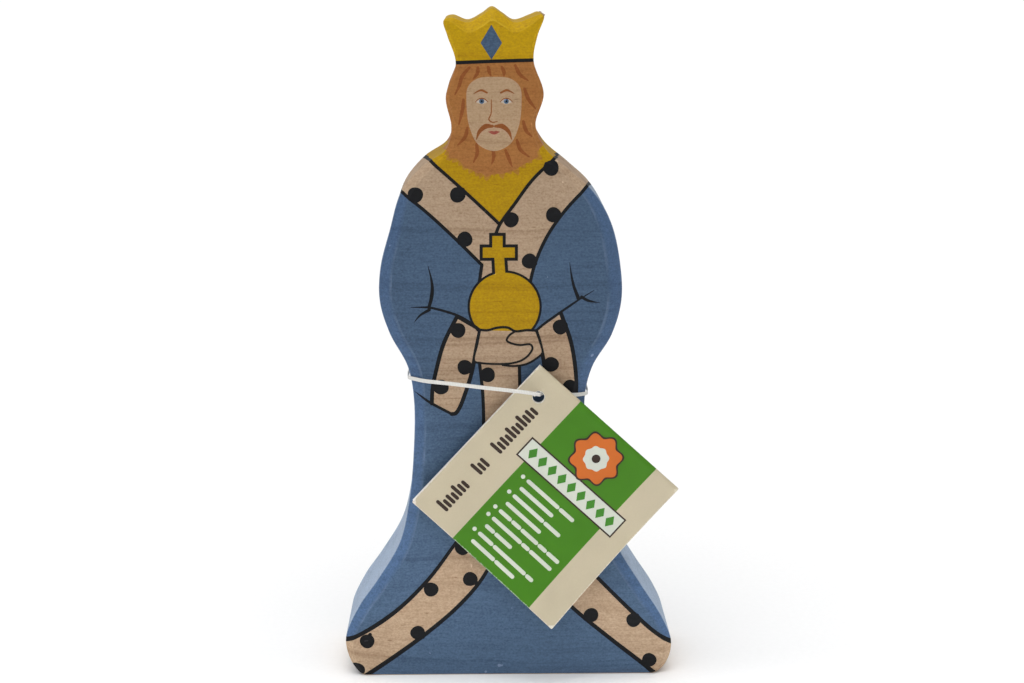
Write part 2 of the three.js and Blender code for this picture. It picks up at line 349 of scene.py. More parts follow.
def cord(points, width, plies=2, around=24, steps=CORD_STEPS, upright=(0, 0, 1)):
    """A cord along a curve, closed by a pole at each end: rings square to the curve, each turned so that its
    first direction is the upright one less its part along the curve. One ply is round. Two plies lie one
    above the other along that first direction: the ring's thickness is its width times half the sum of a
    waist and a swell that grows with the square of the cosine. Returns corners, triangles and UVs:
    millimetres along, turns round."""
    centre = spline(points, steps)
    along = unit(np.gradient(centre, axis=0))
    across = unit(np.array(upright) - along * (along @ np.array(upright, float))[:, None])
    other = np.cross(along, across)
    length = np.r_[0, np.cumsum(np.linalg.norm(np.diff(centre, axis=0), axis=1))]
    turn = np.linspace(0, 2 * math.pi, around + 1)
    cos, sin = np.cos(turn), np.sin(turn)
    thin = np.ones_like(turn) if plies == 1 else (PLY_WAIST + PLY_SWELL * cos**2) / 2
    ring = across[:, None] * cos[:, None] + other[:, None] * (sin * thin)[:, None]
    body = (centre[:, None] + ring * width / 2).reshape(-1, 3)
    uv = np.stack(np.broadcast_arrays(length[:, None], turn / (2 * math.pi)), 2).reshape(-1, 2)
    rows, cols = len(centre), around + 1
    i, j = (v.ravel() for v in np.meshgrid(np.arange(rows - 1), np.arange(around), indexing="ij"))
    a = i * cols + j
    faces = quads_to_triangles(a, a + 1, a + cols + 1, a + cols)
    caps, cap_uv, cap_faces = [], [], []
    for end, sign in ((0, -1), (rows - 1, 1)):
        pole = len(body) + len(caps)
        caps.append(centre[end] + sign * along[end] * width * CAP_RISE)
        cap_uv.append((length[end], 0.5))
        a = end * cols + np.arange(around)
        fan = np.c_[a, a + 1, np.full(around, pole)]
        cap_faces.append(fan if sign > 0 else fan[:, ::-1])
    return np.vstack([body, caps]), np.vstack([faces, *cap_faces]), np.vstack([uv, cap_uv])


def quads_to_triangles(a, b, c, d):
    """Two triangles for each set of four corners, given in turn round the quad."""
    return np.vstack([np.c_[a, b, c], np.c_[a, c, d]])


# ---------------------------------------------------------------- the block's surface


def sample_outline():
    """The outline's samples and their inward directions, which are straight down along the crown's top."""
    samples = spline(OUTLINE, OUTLINE_STEPS, closed=True)[: 1 - OUTLINE_STEPS]
    samples[:, 1] = np.maximum(samples[:, 1], 0)
    along = unit(np.roll(samples, -1, 0)[:, :2] - np.roll(samples, 1, 0)[:, :2])
    inward = np.c_[along[:, 1], -along[:, 0]]
    inward[TOP_FROM + 2: TOP_TO - 1] = (0, -1)
    return samples, inward


TOP_FROM, TOP_TO = CROWN_FROM * OUTLINE_STEPS, CROWN_TO * OUTLINE_STEPS
SAMPLES, INWARD = sample_outline()
RIM = SAMPLES[:, :2] + INWARD * ARRIS


SHARES_AT_ONCE = 1500  # points that are looked at together, to spare memory


def edge_share(points):
    """How far in from the outline each point lies, as a share of the sanded edge's width there: the distance
    to the nearest outline segment over the width at its nearest point, and under the crown's top the drop
    below the outline instead. Also gives that width."""
    a = SAMPLES
    b = np.roll(SAMPLES, -1, 0)
    run = (b - a)[:, :2]
    top = SAMPLES[TOP_FROM: TOP_TO + 1]
    shares, widths = [], []
    for part in np.array_split(points, max(1, len(points) // SHARES_AT_ONCE)):
        gap = part[:, None, :] - a[None, :, :2]
        t = np.clip((gap * run).sum(2) / (run**2).sum(1), 0, 1)
        distance = np.linalg.norm(gap - t[..., None] * run, axis=2)
        nearest = distance.argmin(1)
        row = np.arange(len(part))
        width = a[nearest, 2] + t[row, nearest] * (b - a)[nearest, 2]
        share = distance[row, nearest] / width
        top_width = np.interp(part[:, 0], top[:, 0], top[:, 2])
        top_share = (np.interp(part[:, 0], top[:, 0], top[:, 1]) - part[:, 1]) / top_width
        under_top = (nearest >= TOP_FROM) & (nearest <= TOP_TO)
        shares.append(np.where(under_top, top_share, share))
        widths.append(np.where(under_top, top_width, width))
    return np.clip(np.concatenate(shares), 0, 1), np.concatenate(widths)


def outward_at(points):
    """The outline's outward direction at the sample nearest to each rim point, as x, 0, z."""
    nearest = ((points[:, None, :] - SAMPLES[None, :, :2]) ** 2).sum(2).argmin(1)
    return np.c_[-INWARD[nearest, 0], np.zeros(len(points)), -INWARD[nearest, 1]]


def guide_points():
    """Points that let the tiles follow the sanded edge: rings at shares of its width, and a plain grid."""
    widths = SAMPLES[:, 2:]
    rings = [SAMPLES[:, :2] + INWARD * np.maximum(widths * share, RING_LEAST) for share in RING_SHARES]
    x, z = np.meshgrid(np.arange(LEFTMOST, RIGHTMOST, TILE), np.arange(1.5, TALLEST, TILE))
    grid = np.c_[x.ravel(), z.ravel()]
    points = np.vstack([*rings, grid[edge_share(grid)[0] >= 1]])
    return points[inside(points, RIM)]


GUIDES = guide_points()


def along_outline(points, slide):
    """Points of the outline nearest to the given ones, slid along it by so many millimetres, the outline
    being straight between its samples."""
    closed = np.vstack([SAMPLES, SAMPLES[:1]])[:, :2]
    run = np.diff(closed, axis=0)
    length = np.linalg.norm(run, axis=1)
    start = np.r_[0, np.cumsum(length)]
    gap = points[:, None, :] - closed[None, :-1]
    t = np.clip((gap * run).sum(2) / length**2, 0, 1)
    nearest = np.linalg.norm(gap - t[..., None] * run, axis=2).argmin(1)
    at = (start[nearest] + t[np.arange(len(points)), nearest] * length[nearest] + slide) % start[-1]
    return np.c_[np.interp(at, start, closed[:, 0]), np.interp(at, start, closed[:, 1])]


def shoulder_slide(points, side):
    """How far the painted edges run down the shoulder between a face and the board's middle: away from the
    neck behind the front face and back towards it before the rear one, fading out above and below."""
    fade = np.interp(points[:, 1], SHOULDER_HEIGHTS, (0, 1, 1, 0))
    return SHOULDER_SLIDE * fade * np.sign(points[:, 0]) * -side


def block_skin(base, front, back):
    """The block's whole surface: on each side the face, cut along its layers, and half of the side wall. Each
    face corner drops back by the sanded edge's depth: its width times a ratio times the share of the way out
    to the outline, to a power. The wall's first rows turn through a quarter round over the arris, and the
    rest go evenly to the middle of the board. Returns corners, triangles, each triangle's coat, and each
    corner's edge number: 0 on the flat, 1 at the arris, 2 at the wall's middle."""
    verts, faces, coats, edge, offset = [], [], [], [], 0
    for side, layers in ((-1, front), (1, back)):
        corners, triangles = cut_flat([RIM, *(polygon for _, polygon in layers)], GUIDES)
        middle = corners[triangles].mean(1)
        kept = inside(middle, RIM)
        triangles, middle = triangles[kept], middle[kept]
        coat = np.full(len(triangles), base, dtype="U24")
        for name, polygon in layers:
            coat[inside(middle, polygon)] = name or BARE
        used, triangles = compact(triangles)
        corners = corners[used]
        share, width = edge_share(corners)
        face_y = HALF - BEVEL_RATIO * width * (1 - share) ** BEVEL_POWER
        rim, owner = rim_edges(triangles)
        ends, index = np.unique(rim, return_inverse=True)
        a, b = index.reshape(-1, 2).T
        out = outward_at(corners[ends])
        rows = [(ARRIS * math.sin(t), face_y[ends] - ARRIS_DROP * (1 - math.cos(t))) for t in ARRIS_TURN]
        count = len(ends)
        flat = np.c_[corners[ends, 0], np.zeros(count), corners[ends, 1]]
        wall = [flat + out * step + np.c_[np.zeros(count), side * y, np.zeros(count)] for step, y in rows]
        slide = shoulder_slide(corners[ends], side)
        for depth in np.arange(1, WALL_STEPS + 1) / WALL_STEPS:
            at = along_outline(corners[ends] + out[:, ::2] * ARRIS, slide * depth)
            wall.append(np.c_[at[:, 0], side * rows[-1][1] * (1 - depth), at[:, 1]])
        wall_faces = np.vstack([
            quads_to_triangles(b + k * count, a + k * count, a + (k + 1) * count, b + (k + 1) * count)
            for k in range(len(wall) - 1)
        ])
        wall_coat = np.where(corners[rim].max(1)[:, 1] < FOOT_HEIGHT, BARE, coat[owner])
        both = np.vstack([triangles, wall_faces + len(corners)])
        verts += [np.c_[corners[:, 0], side * face_y, corners[:, 1]], *wall]
        faces.append((both if side < 0 else both[:, ::-1]) + offset)
        coats += [coat, *[wall_coat] * (2 * (len(wall) - 1))]
        flat_edge = (1 - share) * np.clip(corners[:, 1] / FOOT_FADE, 0, 1)
        edge += [flat_edge, *(np.full(count, 1 + k / (len(wall) - 1)) for k in range(len(wall)))]
        offset += len(corners) + count * len(wall)
    return merge_same(np.vstack(verts), np.vstack(faces), np.concatenate(coats), np.concatenate(edge))


def merge_same(verts, faces, coats, edge):
    """Joins corners that lie in the same place, so that faces and walls become one surface."""
    places = np.round(verts * SAME_PLACE)
    _, first, index = np.unique(places, axis=0, return_index=True, return_inverse=True)
    faces = index.reshape(-1)[faces]
    whole = (faces[:, 0] != faces[:, 1]) & (faces[:, 1] != faces[:, 2]) & (faces[:, 0] != faces[:, 2])
    return verts[first], faces[whole], coats[whole], edge[first]


# ---------------------------------------------------------------- what is painted on it


def ribbon(points, widths, steps=6, tip=6):
    """A brush line as a closed polygon: a curve's samples moved out to each side by half the width there,
    with a half circle at each end."""
    centre = spline(points, steps)
    share = np.linspace(0, 1, len(centre))
    half = np.interp(share, np.linspace(0, 1, np.size(widths)), np.atleast_1d(widths)) / 2
    along = unit(np.gradient(centre, axis=0))
    left = np.c_[-along[:, 1], along[:, 0]]
    angle = np.linspace(0, math.pi, tip + 2)[1:-1, None]
    end = centre[-1] + half[-1] * (left[-1] * np.cos(angle) + along[-1] * np.sin(angle))
    start = centre[0] + half[0] * (-left[0] * np.cos(angle) - along[0] * np.sin(angle))
    side = left * half[:, None]
    return np.vstack([centre + side, end, (centre - side)[::-1], start])


def shape(points, steps=6):
    """A closed smooth outline through the points."""
    return spline(points, steps, closed=True)


def area(*runs):
    """A closed polygon made of several open curves, one after another; a run of two points stays straight."""
    return np.vstack([spline(run, 6) if len(run) > 2 else np.asarray(run, float) for run in runs])


def ellipse(x, z, width, height, count=40, wobble=0.0, phase=0.0):
    """A round or oval spot, with a slight three-lobed unevenness from the brush."""
    t = np.linspace(0, 2 * math.pi, count, endpoint=False)
    r = 1 + wobble * np.sin(3 * t + phase)
    return np.c_[x + r * np.cos(t) * width / 2, z + r * np.sin(t) * height / 2]


LINE = 0.64  # the common width of a brush outline
CUFF_LINE = 0.78
BACK_LINE = 0.8
BAND_LINE = 0.66  # under the crown
ORB_LINE = 0.45
CROSS_LINE_OUT, CROSS_LINE_IN = 0.32, 0.28  # to each side of the cross's outline
ROUND = 72  # corners of a large round shape

COLLAR_LEFT_IN = [(-17, 103.8), (-15.5, 102.7), (-9.9, 97.8), (-4.1, 92.4), (-1.7, 90.1)]
COLLAR_RIGHT_IN = [(10.8, 104.0), (9.3, 103.0), (4.6, 98.7), (1.1, 94.0), (-1.7, 90.1), (-2.5, 88.2)]
COLLAR_LEFT_OUT = [(-22, 97.4), (-20.2, 96.2), (-16, 92.9), (-10.9, 88.2), (-5.1, 82.4)]
COLLAR_LEFT_DROP = [(-5.1, 82.4), (-5.9, 77)]
COLLAR_RIGHT_OUT = [(17, 99.2), (15.2, 97.6), (10.8, 93), (7.3, 88), (4.9, 82.5), (3.6, 77)]
ORB_AT, ORB_SIZE = (-0.8, 74.3), 13.2
CROSS = [
    (-3.4, 88.2), (-0.9, 88.2), (-0.9, 86), (1.4, 86), (1.4, 83.5), (-0.6, 83.5), (-0.3, 79.5),
    (-2.8, 79.5), (-3, 83.5), (-5.2, 83.5), (-5.2, 86), (-3.4, 86),
]
HANDS_TOP = [(-5.6, 69.9), (-4.1, 69.8), (-2.2, 70.3), (-0.2, 70.3), (1.2, 69.6), (3.4, 69.8), (5.2, 69.7)]
LEFT_HAND = [
    (-5.5, 69.8), (-6, 67.2), (-6.6, 63.8), (-5.2, 63.4), (-1.5, 63.2), (0.8, 63.4), (2.6, 64),
    (3.9, 65.1), (4.5, 66.3), (4.1, 67), (2.2, 66.9), (0.6, 67.2), (-0.4, 67.8), (0, 68.7), (1.2, 69.6),
]
RIGHT_HAND = [(5.2, 69.6), (5.9, 67.6), (6.4, 65.4), (5.3, 64.3), (3.4, 63.2), (1, 62.8), (-1.2, 63)]
CUFF_LEFT_IN = [
    (-5.5, 69.8), (-6.2, 66.4), (-7.1, 61.6), (-8.4, 57.4), (-9.6, 54.4), (-10.3, 53.5), (-11, 53.4),
]
CUFF_LEFT_OUT = [(-9.9, 72.4), (-12.4, 67.3), (-13.9, 62), (-14.6, 58.6), (-14.8, 55.5)]
CUFF_RIGHT_IN = [(5.2, 69.6), (5.9, 67.3), (6.5, 64.6), (7.2, 60.5), (8.4, 56.8), (9.4, 55.2)]
CUFF_RIGHT_OUT = [(9.9, 73), (11.8, 67.6), (12.8, 61.5), (12.9, 57), (12.4, 55.2)]
CUFF_TOP = [(-9.9, 72.4), (-5.5, 69.8)]
STRIP_LEFT = [(-5.6, 63.3), (-5, 57), (-4.9, 50), (-5.6, 41), (-7.2, 34), (-10.4, 27.4)]
STRIP_RIGHT = [(2, 62.9), (2.2, 56), (2.9, 48), (4.6, 40), (8.2, 31.6), (12.6, 25.4)]
HEM_LEFT_OUT = [(-10.4, 27.4), (-15.7, 20.1), (-21.6, 14), (-27, 10), (-31.9, 7.3), (-34, 6.4)]
HEM_RIGHT_OUT = [(12.6, 25.4), (17.6, 19.9), (24.5, 12.8), (28.3, 9.2), (32.1, 6.4), (34, 5)]
HEM_LEFT_IN = [
    (-0.9, 34.5), (-2.2, 26.5), (-5.2, 20.2), (-9.5, 14.9), (-15.3, 9.6), (-22.2, 4.3), (-29.5, -0.8),
]
HEM_RIGHT_IN = [(-0.9, 34.5), (1.6, 27), (6.4, 20.4), (12.7, 13.8), (20, 7.5), (26.4, 2.3), (30, -0.8)]

# The front's brush lines, each with its width or its widths from end to end. The first lot lies under the
# ermine tails and the orb, and the second over them: hands, the sleeves' creases and the cuffs' ends.
BORDER_LINES = [
    (COLLAR_LEFT_IN, LINE), (COLLAR_RIGHT_IN, LINE), (COLLAR_LEFT_OUT, LINE), (COLLAR_LEFT_DROP, LINE),
    (COLLAR_RIGHT_OUT, LINE), (STRIP_LEFT, LINE), (STRIP_RIGHT, LINE), (CUFF_LEFT_IN, CUFF_LINE),
    (CUFF_LEFT_OUT, CUFF_LINE), (CUFF_RIGHT_IN, CUFF_LINE), (CUFF_RIGHT_OUT, CUFF_LINE),
    (HEM_LEFT_OUT, (0.66, 0.9, 0.8)), (HEM_RIGHT_OUT, (0.66, 0.85, 0.8)),
    (HEM_LEFT_IN, (0.6, 0.8, 0.95)), (HEM_RIGHT_IN, (0.6, 0.8, 0.95)),
]
ARM_LINES = [
    (HANDS_TOP, 0.5), (LEFT_HAND, 0.42), (RIGHT_HAND, 0.42),
    ([(-18.6, 74.3), (-16.5, 74.3), (-14.9, 74.2), (-10.3, 72.9), (-8.1, 71.8), (-5.5, 69.9)],
     (0.12, 0.45, 0.5, 0.5)),
    ([(-15.3, 82.3), (-14.7, 79.8), (-14.5, 78), (-14.7, 76), (-15.2, 74.2)], (0.08, 0.5, 0.72, 0.6)),
    ([(-18, 71.4), (-16.9, 72.7), (-15.1, 73.8)], (0.08, 0.4, 0.6)),
    ([(-18.2, 57.5), (-16.7, 56.7), (-14.8, 55.5), (-11, 53.4)], (0.1, 0.42, 0.55, 0.55)),
    ([(5.2, 69.7), (6.7, 71), (9.6, 73.1), (12.9, 75.4), (16.2, 77.5)], (0.5, 0.5, 0.45, 0.1)),
    ([(11.5, 82.8), (11.8, 80.6), (12.3, 78.3), (13.2, 75.9)], (0.08, 0.45, 0.72)),
    ([(13.8, 76.2), (14.8, 75.6), (15.8, 75.3), (17.2, 75.1)], (0.6, 0.5, 0.08)),
    (CUFF_TOP, 0.5),
]
CROWN_GEM = np.array([(-3.2, 127.1), (-5.2, 123.8), (-3.2, 120.75), (-1.25, 123.8)])

# The crown and its band run past the block at both sides, and so does the hair above its ragged edge.
CROWN_AREA = np.array([(-15, 120.1), (9, 120.75), (12, 133), (-16, 133)])
CROWN_BAND = [(-12, 120.1), (-3, 120.45), (8, 120.75)]
HAIR_TOP = [(9, 112), (8, 122), (-14, 122), (-14, 112)]
GOWN_TOP = [(6, 112), (-12, 112)]  # the gown runs up under the hair

# The back: an ermine cape collar, and an ermine hem.
BACK_COLLAR_IN = [
    (-18.3, 102.1), (-16.5, 100.8), (-10, 96.6), (-2.7, 95.2), (4.5, 96.7), (10.2, 101.3), (12, 102.8),
]
BACK_COLLAR_OUT = [
    (-23, 94.4), (-21, 93.8), (-14.4, 91.4), (-8, 89.4), (-2.2, 88.8), (4, 89.4), (10, 91.9), (16.3, 95.4),
    (18.2, 96.8),
]
BACK_HEM_UP = [
    (-34, 6.4), (-31.9, 7.3), (-22, 9.6), (-10, 10.7), (2, 11), (14, 10.4), (24, 8.8), (32.1, 6.4), (34, 5),
]
BACK_HEM_LOW = [
    (-29.5, -0.8), (-26, 2.6), (-16, 4.5), (-4, 5.2), (8, 5), (18, 4.1), (26, 2.6), (30, -0.8),
]
BACK_HAIR_EDGE = [
    (-13.4, 105.6), (-12, 104.2), (-11.6, 102), (-10.1, 100.6), (-9.2, 98.7), (-7.9, 98.4), (-7, 96.9),
    (-5.6, 97.2), (-4.6, 96), (-3.2, 96.9), (-2, 95.9), (-0.6, 97), (0.8, 96.7), (2, 98.2), (3.6, 98.6),
    (4.4, 100.6), (5.9, 101.6), (6.2, 103.8), (7.4, 105.6),
]
# Each stroke of the back's hair: where it starts across, how far it bends, and its top and lower heights.
BACK_HAIR_STROKES = [
    (-8.4, -0.5, 118.6, 113.2), (-6.2, -0.3, 119, 111.6), (-3.6, -0.2, 118.2, 110.4), (-1.2, 0.2, 119, 112.2),
    (1.2, 0.4, 118.4, 111.2), (3.2, 0.5, 117.6, 113), (-9.6, 0.4, 111.4, 105.2), (-7.2, 0.2, 109.2, 102.2),
    (-4.8, 0.1, 108.2, 100.4), (-2.4, 0, 107.6, 98.6), (0.2, -0.1, 109.4, 101.2), (2.4, -0.3, 108.2, 102.2),
    (3.6, 0.1, 107.4, 103.8),
]

# Where the ermine tails sit, and the point of the border that each one hangs from.
FRONT_TAILS = [
    ((-17.5, 95.7), (-18.6, 95)), ((-9.6, 95.7), (-8.6, 96.7)), ((-8.3, 87.3), (-9.3, 86.6)),
    ((7.9, 100.7), (7, 101.5)), ((0.4, 91.0), (-0.7, 91.5)), ((8.4, 91.9), (9.4, 91.3)),
    ((3.9, 83.1), (5, 82.6)), ((-9.7, 69.8), (-11, 70)), ((-8.4, 62.6), (-7, 62.3)),
    ((-13, 58.7), (-14.2, 58.6)), ((-4.1, 61.1), (-5.2, 61)), ((9.8, 70.4), (10.9, 70.2)),
    ((8.1, 63.1), (6.8, 62.7)), ((11.7, 58.6), (12.8, 58.6)), ((1.4, 54.5), (2.4, 54.6)),
    ((-3.6, 48.6), (-4.8, 48.6)), ((2.4, 43.4), (3.7, 43.6)), ((-3.6, 36.4), (-2.6, 35.2)),
    ((-9.1, 26.4), (-10.2, 27.2)), ((-15.3, 17.9), (-16.5, 18.8)), ((-7.6, 20), (-6.2, 19)),
    ((-18, 8.9), (-17, 8)), ((-28, 7.2), (-27.4, 8.6)), ((-30, 1.2), (-29, 0)),
    ((7.2, 30.6), (8.3, 31.4)), ((16.2, 12.4), (15, 11.6)), ((24.6, 11.3), (25.3, 12.3)),
    ((27.8, 2.9), (26.5, 2.2)),
]
BACK_TAILS = [
    ((-16.4, 95.2), (-16.8, 94)), ((-10.6, 93.6), (-11, 92.2)), ((-3.6, 90.4), (-3.6, 89)),
    ((3.4, 94.6), (3.0, 96)), ((7.4, 92.8), (7.9, 91.4)), ((12.6, 97.1), (13.4, 96.2)),
    ((-25.5, 7.4), (-25.1, 8.9)), ((-19.6, 5.6), (-20, 4.4)), ((-12.5, 9), (-12.3, 10.4)),
    ((-4.2, 6.5), (-4.2, 5.1)), ((4.6, 9.3), (4.6, 10.7)), ((13.4, 6.2), (13.6, 4.8)),
    ((20.4, 8.1), (20.2, 9.5)), ((27, 4.4), (27.6, 3.1)),
]
TAIL_SIZE = 2.92
TAIL_ROOT, TAIL_NECK = 0.75, 2.2  # the stroke's width at the border and at the spot
UNEVEN = 0.025  # how far off round a spot is
BRUSH_TURN = 1.7  # how far each spot's unevenness is turned from the last one's, in radians

BEARD_EDGE = [
    (-13.4, 105.6), (-12.2, 104.4), (-11.2, 103.6), (-11.2, 102.6), (-9.7, 102.5), (-8.9, 101.7),
    (-8.3, 100.8), (-7.0, 100.5), (-5.9, 99.7), (-5.1, 99.8), (-4.1, 99.0), (-2.8, 99.7), (-1.3, 99.6),
    (0.2, 100.1), (1.3, 100.4), (2.6, 101.3), (4.0, 102.0), (5.5, 102.8), (5.3, 103.7), (5.9, 104.5),
    (7.4, 105.6),
]
HAIR_STROKES = [
    [(-7.3, 119.3), (-8.6, 117.7), (-9.2, 115.9), (-10.0, 114.3)],
    [(-5.7, 119.3), (-5.8, 118.3), (-6.6, 117.2)],
    [(-3.8, 119.4), (-3.6, 118.5), (-3.3, 117.8)],
    [(-1.3, 119.4), (-0.9, 118.5), (-0.9, 117.7)],
    [(1.2, 119.7), (2.0, 118.1), (3.6, 116.9)],
    [(-8.4, 113.4), (-8.6, 111.5), (-9.3, 108.8)],
    [(-7.7, 108.2), (-8.1, 106.6), (-9.5, 105.0)],
    [(2.9, 115.4), (3.7, 113.4), (5.0, 111.7)],
    [(2.7, 109.4), (3.2, 107.7), (4.3, 106.6)],
    [(1.5, 105.9), (2.2, 104.1), (3.8, 102.8)],
    [(-6.0, 105.2), (-5.9, 103.5), (-6.6, 101.8)],
    [(-3.0, 104.2), (-2.8, 102.9), (-3.2, 101.5)],
    [(-0.6, 104.0), (0.0, 102.5), (0.6, 101.0)],
]

STROKE_WIDTHS = (0.5, 0.72, 0.6, 0.22)
BLEED_REACH = (0.75, 0.4, 0.95, 0.55, 0.3)  # how far the thin stain is dragged, in turn
BLEED_ROOT = 0.7  # how far inside the hair's edge each drag starts
BLEED_WIDTHS = (1.5, 0.95, 0.35)

# The face is laid out by the usual rules of proportion about its own middle: eyes halfway up the head, the
# nose ending halfway from brow to chin, the mouth a third of the way on, and five eye widths across.
FACE_MIDDLE = -2.75
CHIN, SKULL_TOP = 103.9, 122.3
HEAD_WIDTH = 11.4
EYE_HEIGHT = (CHIN + SKULL_TOP) / 2
BROW = EYE_HEIGHT + 1.5
NOSE_END = (BROW + CHIN) / 2
MOUTH = NOSE_END - (NOSE_END - CHIN) / 3
EYE_WIDTH = HEAD_WIDTH / 5


def mirrored(points):
    """The same points on the other side of the face's middle line."""
    return [(2 * FACE_MIDDLE - x, z) for x, z in points]


def face_layers():
    """The face from proportion alone, each layer a coat and a polygon."""
    m = FACE_MIDDLE
    face = shape([
        (m, CHIN), (m - 3.0, CHIN + 1.3), (m - 4.6, CHIN + 4.6), (m - 5.1, EYE_HEIGHT - 0.6),
        (m - 4.8, BROW + 1.2), (m - 3.0, BROW + 2.7), (m, BROW + 3.0),
        (m + 3.0, BROW + 2.7), (m + 4.8, BROW + 1.2), (m + 5.1, EYE_HEIGHT - 0.6),
        (m + 4.6, CHIN + 4.6), (m + 3.0, CHIN + 1.3),
    ])
    layers = [("face_skin", face)]
    for side in (-1, 1):
        x = m + side * EYE_WIDTH
        half = EYE_WIDTH / 2
        e = EYE_HEIGHT
        lid = [
            (x - half, e - 0.1), (x - half / 2, e + 0.42), (x, e + 0.56), (x + half / 2, e + 0.42),
            (x + half, e - 0.1),
        ]
        eye = area(lid, [(x + half, e - 0.1), (x, e - 0.5), (x - half, e - 0.1)])
        brow = [(x - side * 1.0, BROW + 0.1), (x + side * 0.1, BROW + 0.55), (x + side * 1.45, BROW - 0.05)]
        layers += [
            ("eye_white", eye),
            ("king_blue", ellipse(x, e + 0.03, 0.92, 0.96)),
            ("outline_black", ellipse(x, e + 0.03, 0.36, 0.38)),
            ("hair_strokes", ribbon(lid, (0.14, 0.24, 0.14))),
            ("hair_strokes", ribbon(brow, (0.34, 0.42, 0.12))),
        ]
    nose = [
        (m - 0.5, BROW - 1.2), (m - 0.55, NOSE_END + 1.6), (m - 0.95, NOSE_END + 0.5), (m - 0.3, NOSE_END),
        (m + 0.6, NOSE_END + 0.12),
    ]
    whisker = [
        (m + 0.25, NOSE_END - 0.75), (m + 1.5, NOSE_END - 0.75), (m + 2.7, NOSE_END - 1.7),
        (m + 3.3, NOSE_END - 3.2),
    ]
    upper_lip = [
        (m - 1.15, MOUTH), (m - 0.4, MOUTH + 0.2), (m, MOUTH + 0.1), (m + 0.4, MOUTH + 0.2),
        (m + 1.15, MOUTH),
    ]
    lower_lip = [(m + 1.15, MOUTH), (m, MOUTH - 0.5), (m - 1.15, MOUTH)]
    layers += [
        ("hair_strokes", ribbon(nose, (0.16, 0.22, 0.26, 0.16))),
        ("lips_red", area(upper_lip, lower_lip)),
        ("hair_strokes", ribbon(whisker, (0.5, 0.95, 0.7, 0.14))),
        ("hair_strokes", ribbon(mirrored(whisker), (0.5, 0.95, 0.7, 0.14))),
    ]
    return layers


def tails(places):
    """Ermine tails: an uneven round spot and a short thick stroke that joins it to its border."""
    layers = []
    for number, ((x, z), hook) in enumerate(places):
        spot = ellipse(x, z, TAIL_SIZE, TAIL_SIZE, 32, UNEVEN, number * BRUSH_TURN)
        stroke = ribbon([hook, (x, z)], (TAIL_ROOT, TAIL_NECK), steps=3)
        layers += [("outline_black", spot), ("outline_black", stroke)]
    return layers


def bleed(edge):
    """Thinner stain dragged past the hair's ragged edge: a short tapering stroke out from the head's middle
    at each of its points, long and short in turn."""
    layers = []
    for number, (x, z) in enumerate(edge[2:-2]):
        out = unit(np.array([x - FACE_MIDDLE, z - (CHIN + 4)]))
        reach = BLEED_REACH[number % len(BLEED_REACH)]
        start = np.array([x, z]) - out * BLEED_ROOT
        drag = [start, start + out * (BLEED_ROOT + reach / 2), start + out * (BLEED_ROOT + reach)]
        layers.append(("hair_thin", ribbon(drag, BLEED_WIDTHS, steps=4)))
    return layers


def head_layers(edge, strokes):
    """Hair down to a ragged edge with its darker strokes, and apart from them the crown and its band."""
    hair = [("hair_brown", np.vstack([edge, HAIR_TOP]))]
    hair += [("hair_strokes", ribbon(line, STROKE_WIDTHS)) for line in strokes]
    return hair, [("crown_yellow", CROWN_AREA), ("outline_black", ribbon(CROWN_BAND, BAND_LINE))]


def front_layers():
    """Everything painted on the front, from the first coat to the last. Layers with no coat leave the wood
    bare."""
    bare = [
        area(COLLAR_LEFT_IN, COLLAR_LEFT_DROP[::-1], COLLAR_LEFT_OUT[::-1]),
        area(COLLAR_RIGHT_IN, [(-2.5, 88.2), (-5.6, 78)], [(-5.6, 78), (3.7, 78)], COLLAR_RIGHT_OUT[::-1]),
        area(CUFF_LEFT_IN, [(-11, 53.4), (-14.8, 55.5)], CUFF_LEFT_OUT[::-1], CUFF_TOP),
        area(CUFF_RIGHT_IN, CUFF_RIGHT_OUT[::-1]),
        area(STRIP_LEFT, HEM_LEFT_OUT, [(-34, 6.4), (-29.5, -0.8)], HEM_LEFT_IN[::-1], HEM_RIGHT_IN,
             [(30, -0.8), (34, 5)], HEM_RIGHT_OUT[::-1], STRIP_RIGHT[::-1]),
    ]
    orb_outline = ORB_SIZE + 2 * ORB_LINE
    layers = [("gown_yellow", area(COLLAR_LEFT_IN, COLLAR_RIGHT_IN[-2::-1], GOWN_TOP))]
    layers += [(None, polygon) for polygon in bare]
    layers += [("outline_black", ribbon(line, widths)) for line, widths in BORDER_LINES]
    layers += tails(FRONT_TAILS)
    layers += [
        ("outline_black", ellipse(*ORB_AT, orb_outline, orb_outline, ROUND)),
        ("outline_black", grown(CROSS, CROSS_LINE_OUT)),
        ("gown_yellow", ellipse(*ORB_AT, ORB_SIZE, ORB_SIZE, ROUND)),
        ("gown_yellow", grown(CROSS, -CROSS_LINE_IN)),
        (None, shape(RIGHT_HAND + [(-2, 66), (1.2, 69.6)], 4)),
        (None, spline(LEFT_HAND, 6)),
    ]
    layers += [("outline_black", ribbon(line, widths)) for line, widths in ARM_LINES]
    hair, crown = head_layers(BEARD_EDGE, HAIR_STROKES)
    return layers + bleed(BEARD_EDGE) + hair + face_layers() + crown + [("king_blue", CROWN_GEM)]


def grown(points, by):
    """A square-cornered outline with every side moved out by a distance: each corner goes out by the sum of
    its two sides' outward directions, over one plus their dot product."""
    p = np.asarray(points, float)[::-1]
    before, after = unit(p - np.roll(p, 1, 0)), unit(np.roll(p, -1, 0) - p)
    out_a, out_b = np.c_[before[:, 1], -before[:, 0]], np.c_[after[:, 1], -after[:, 0]]
    return p + by * (out_a + out_b) / (1 + (out_a * out_b).sum(1, keepdims=True))


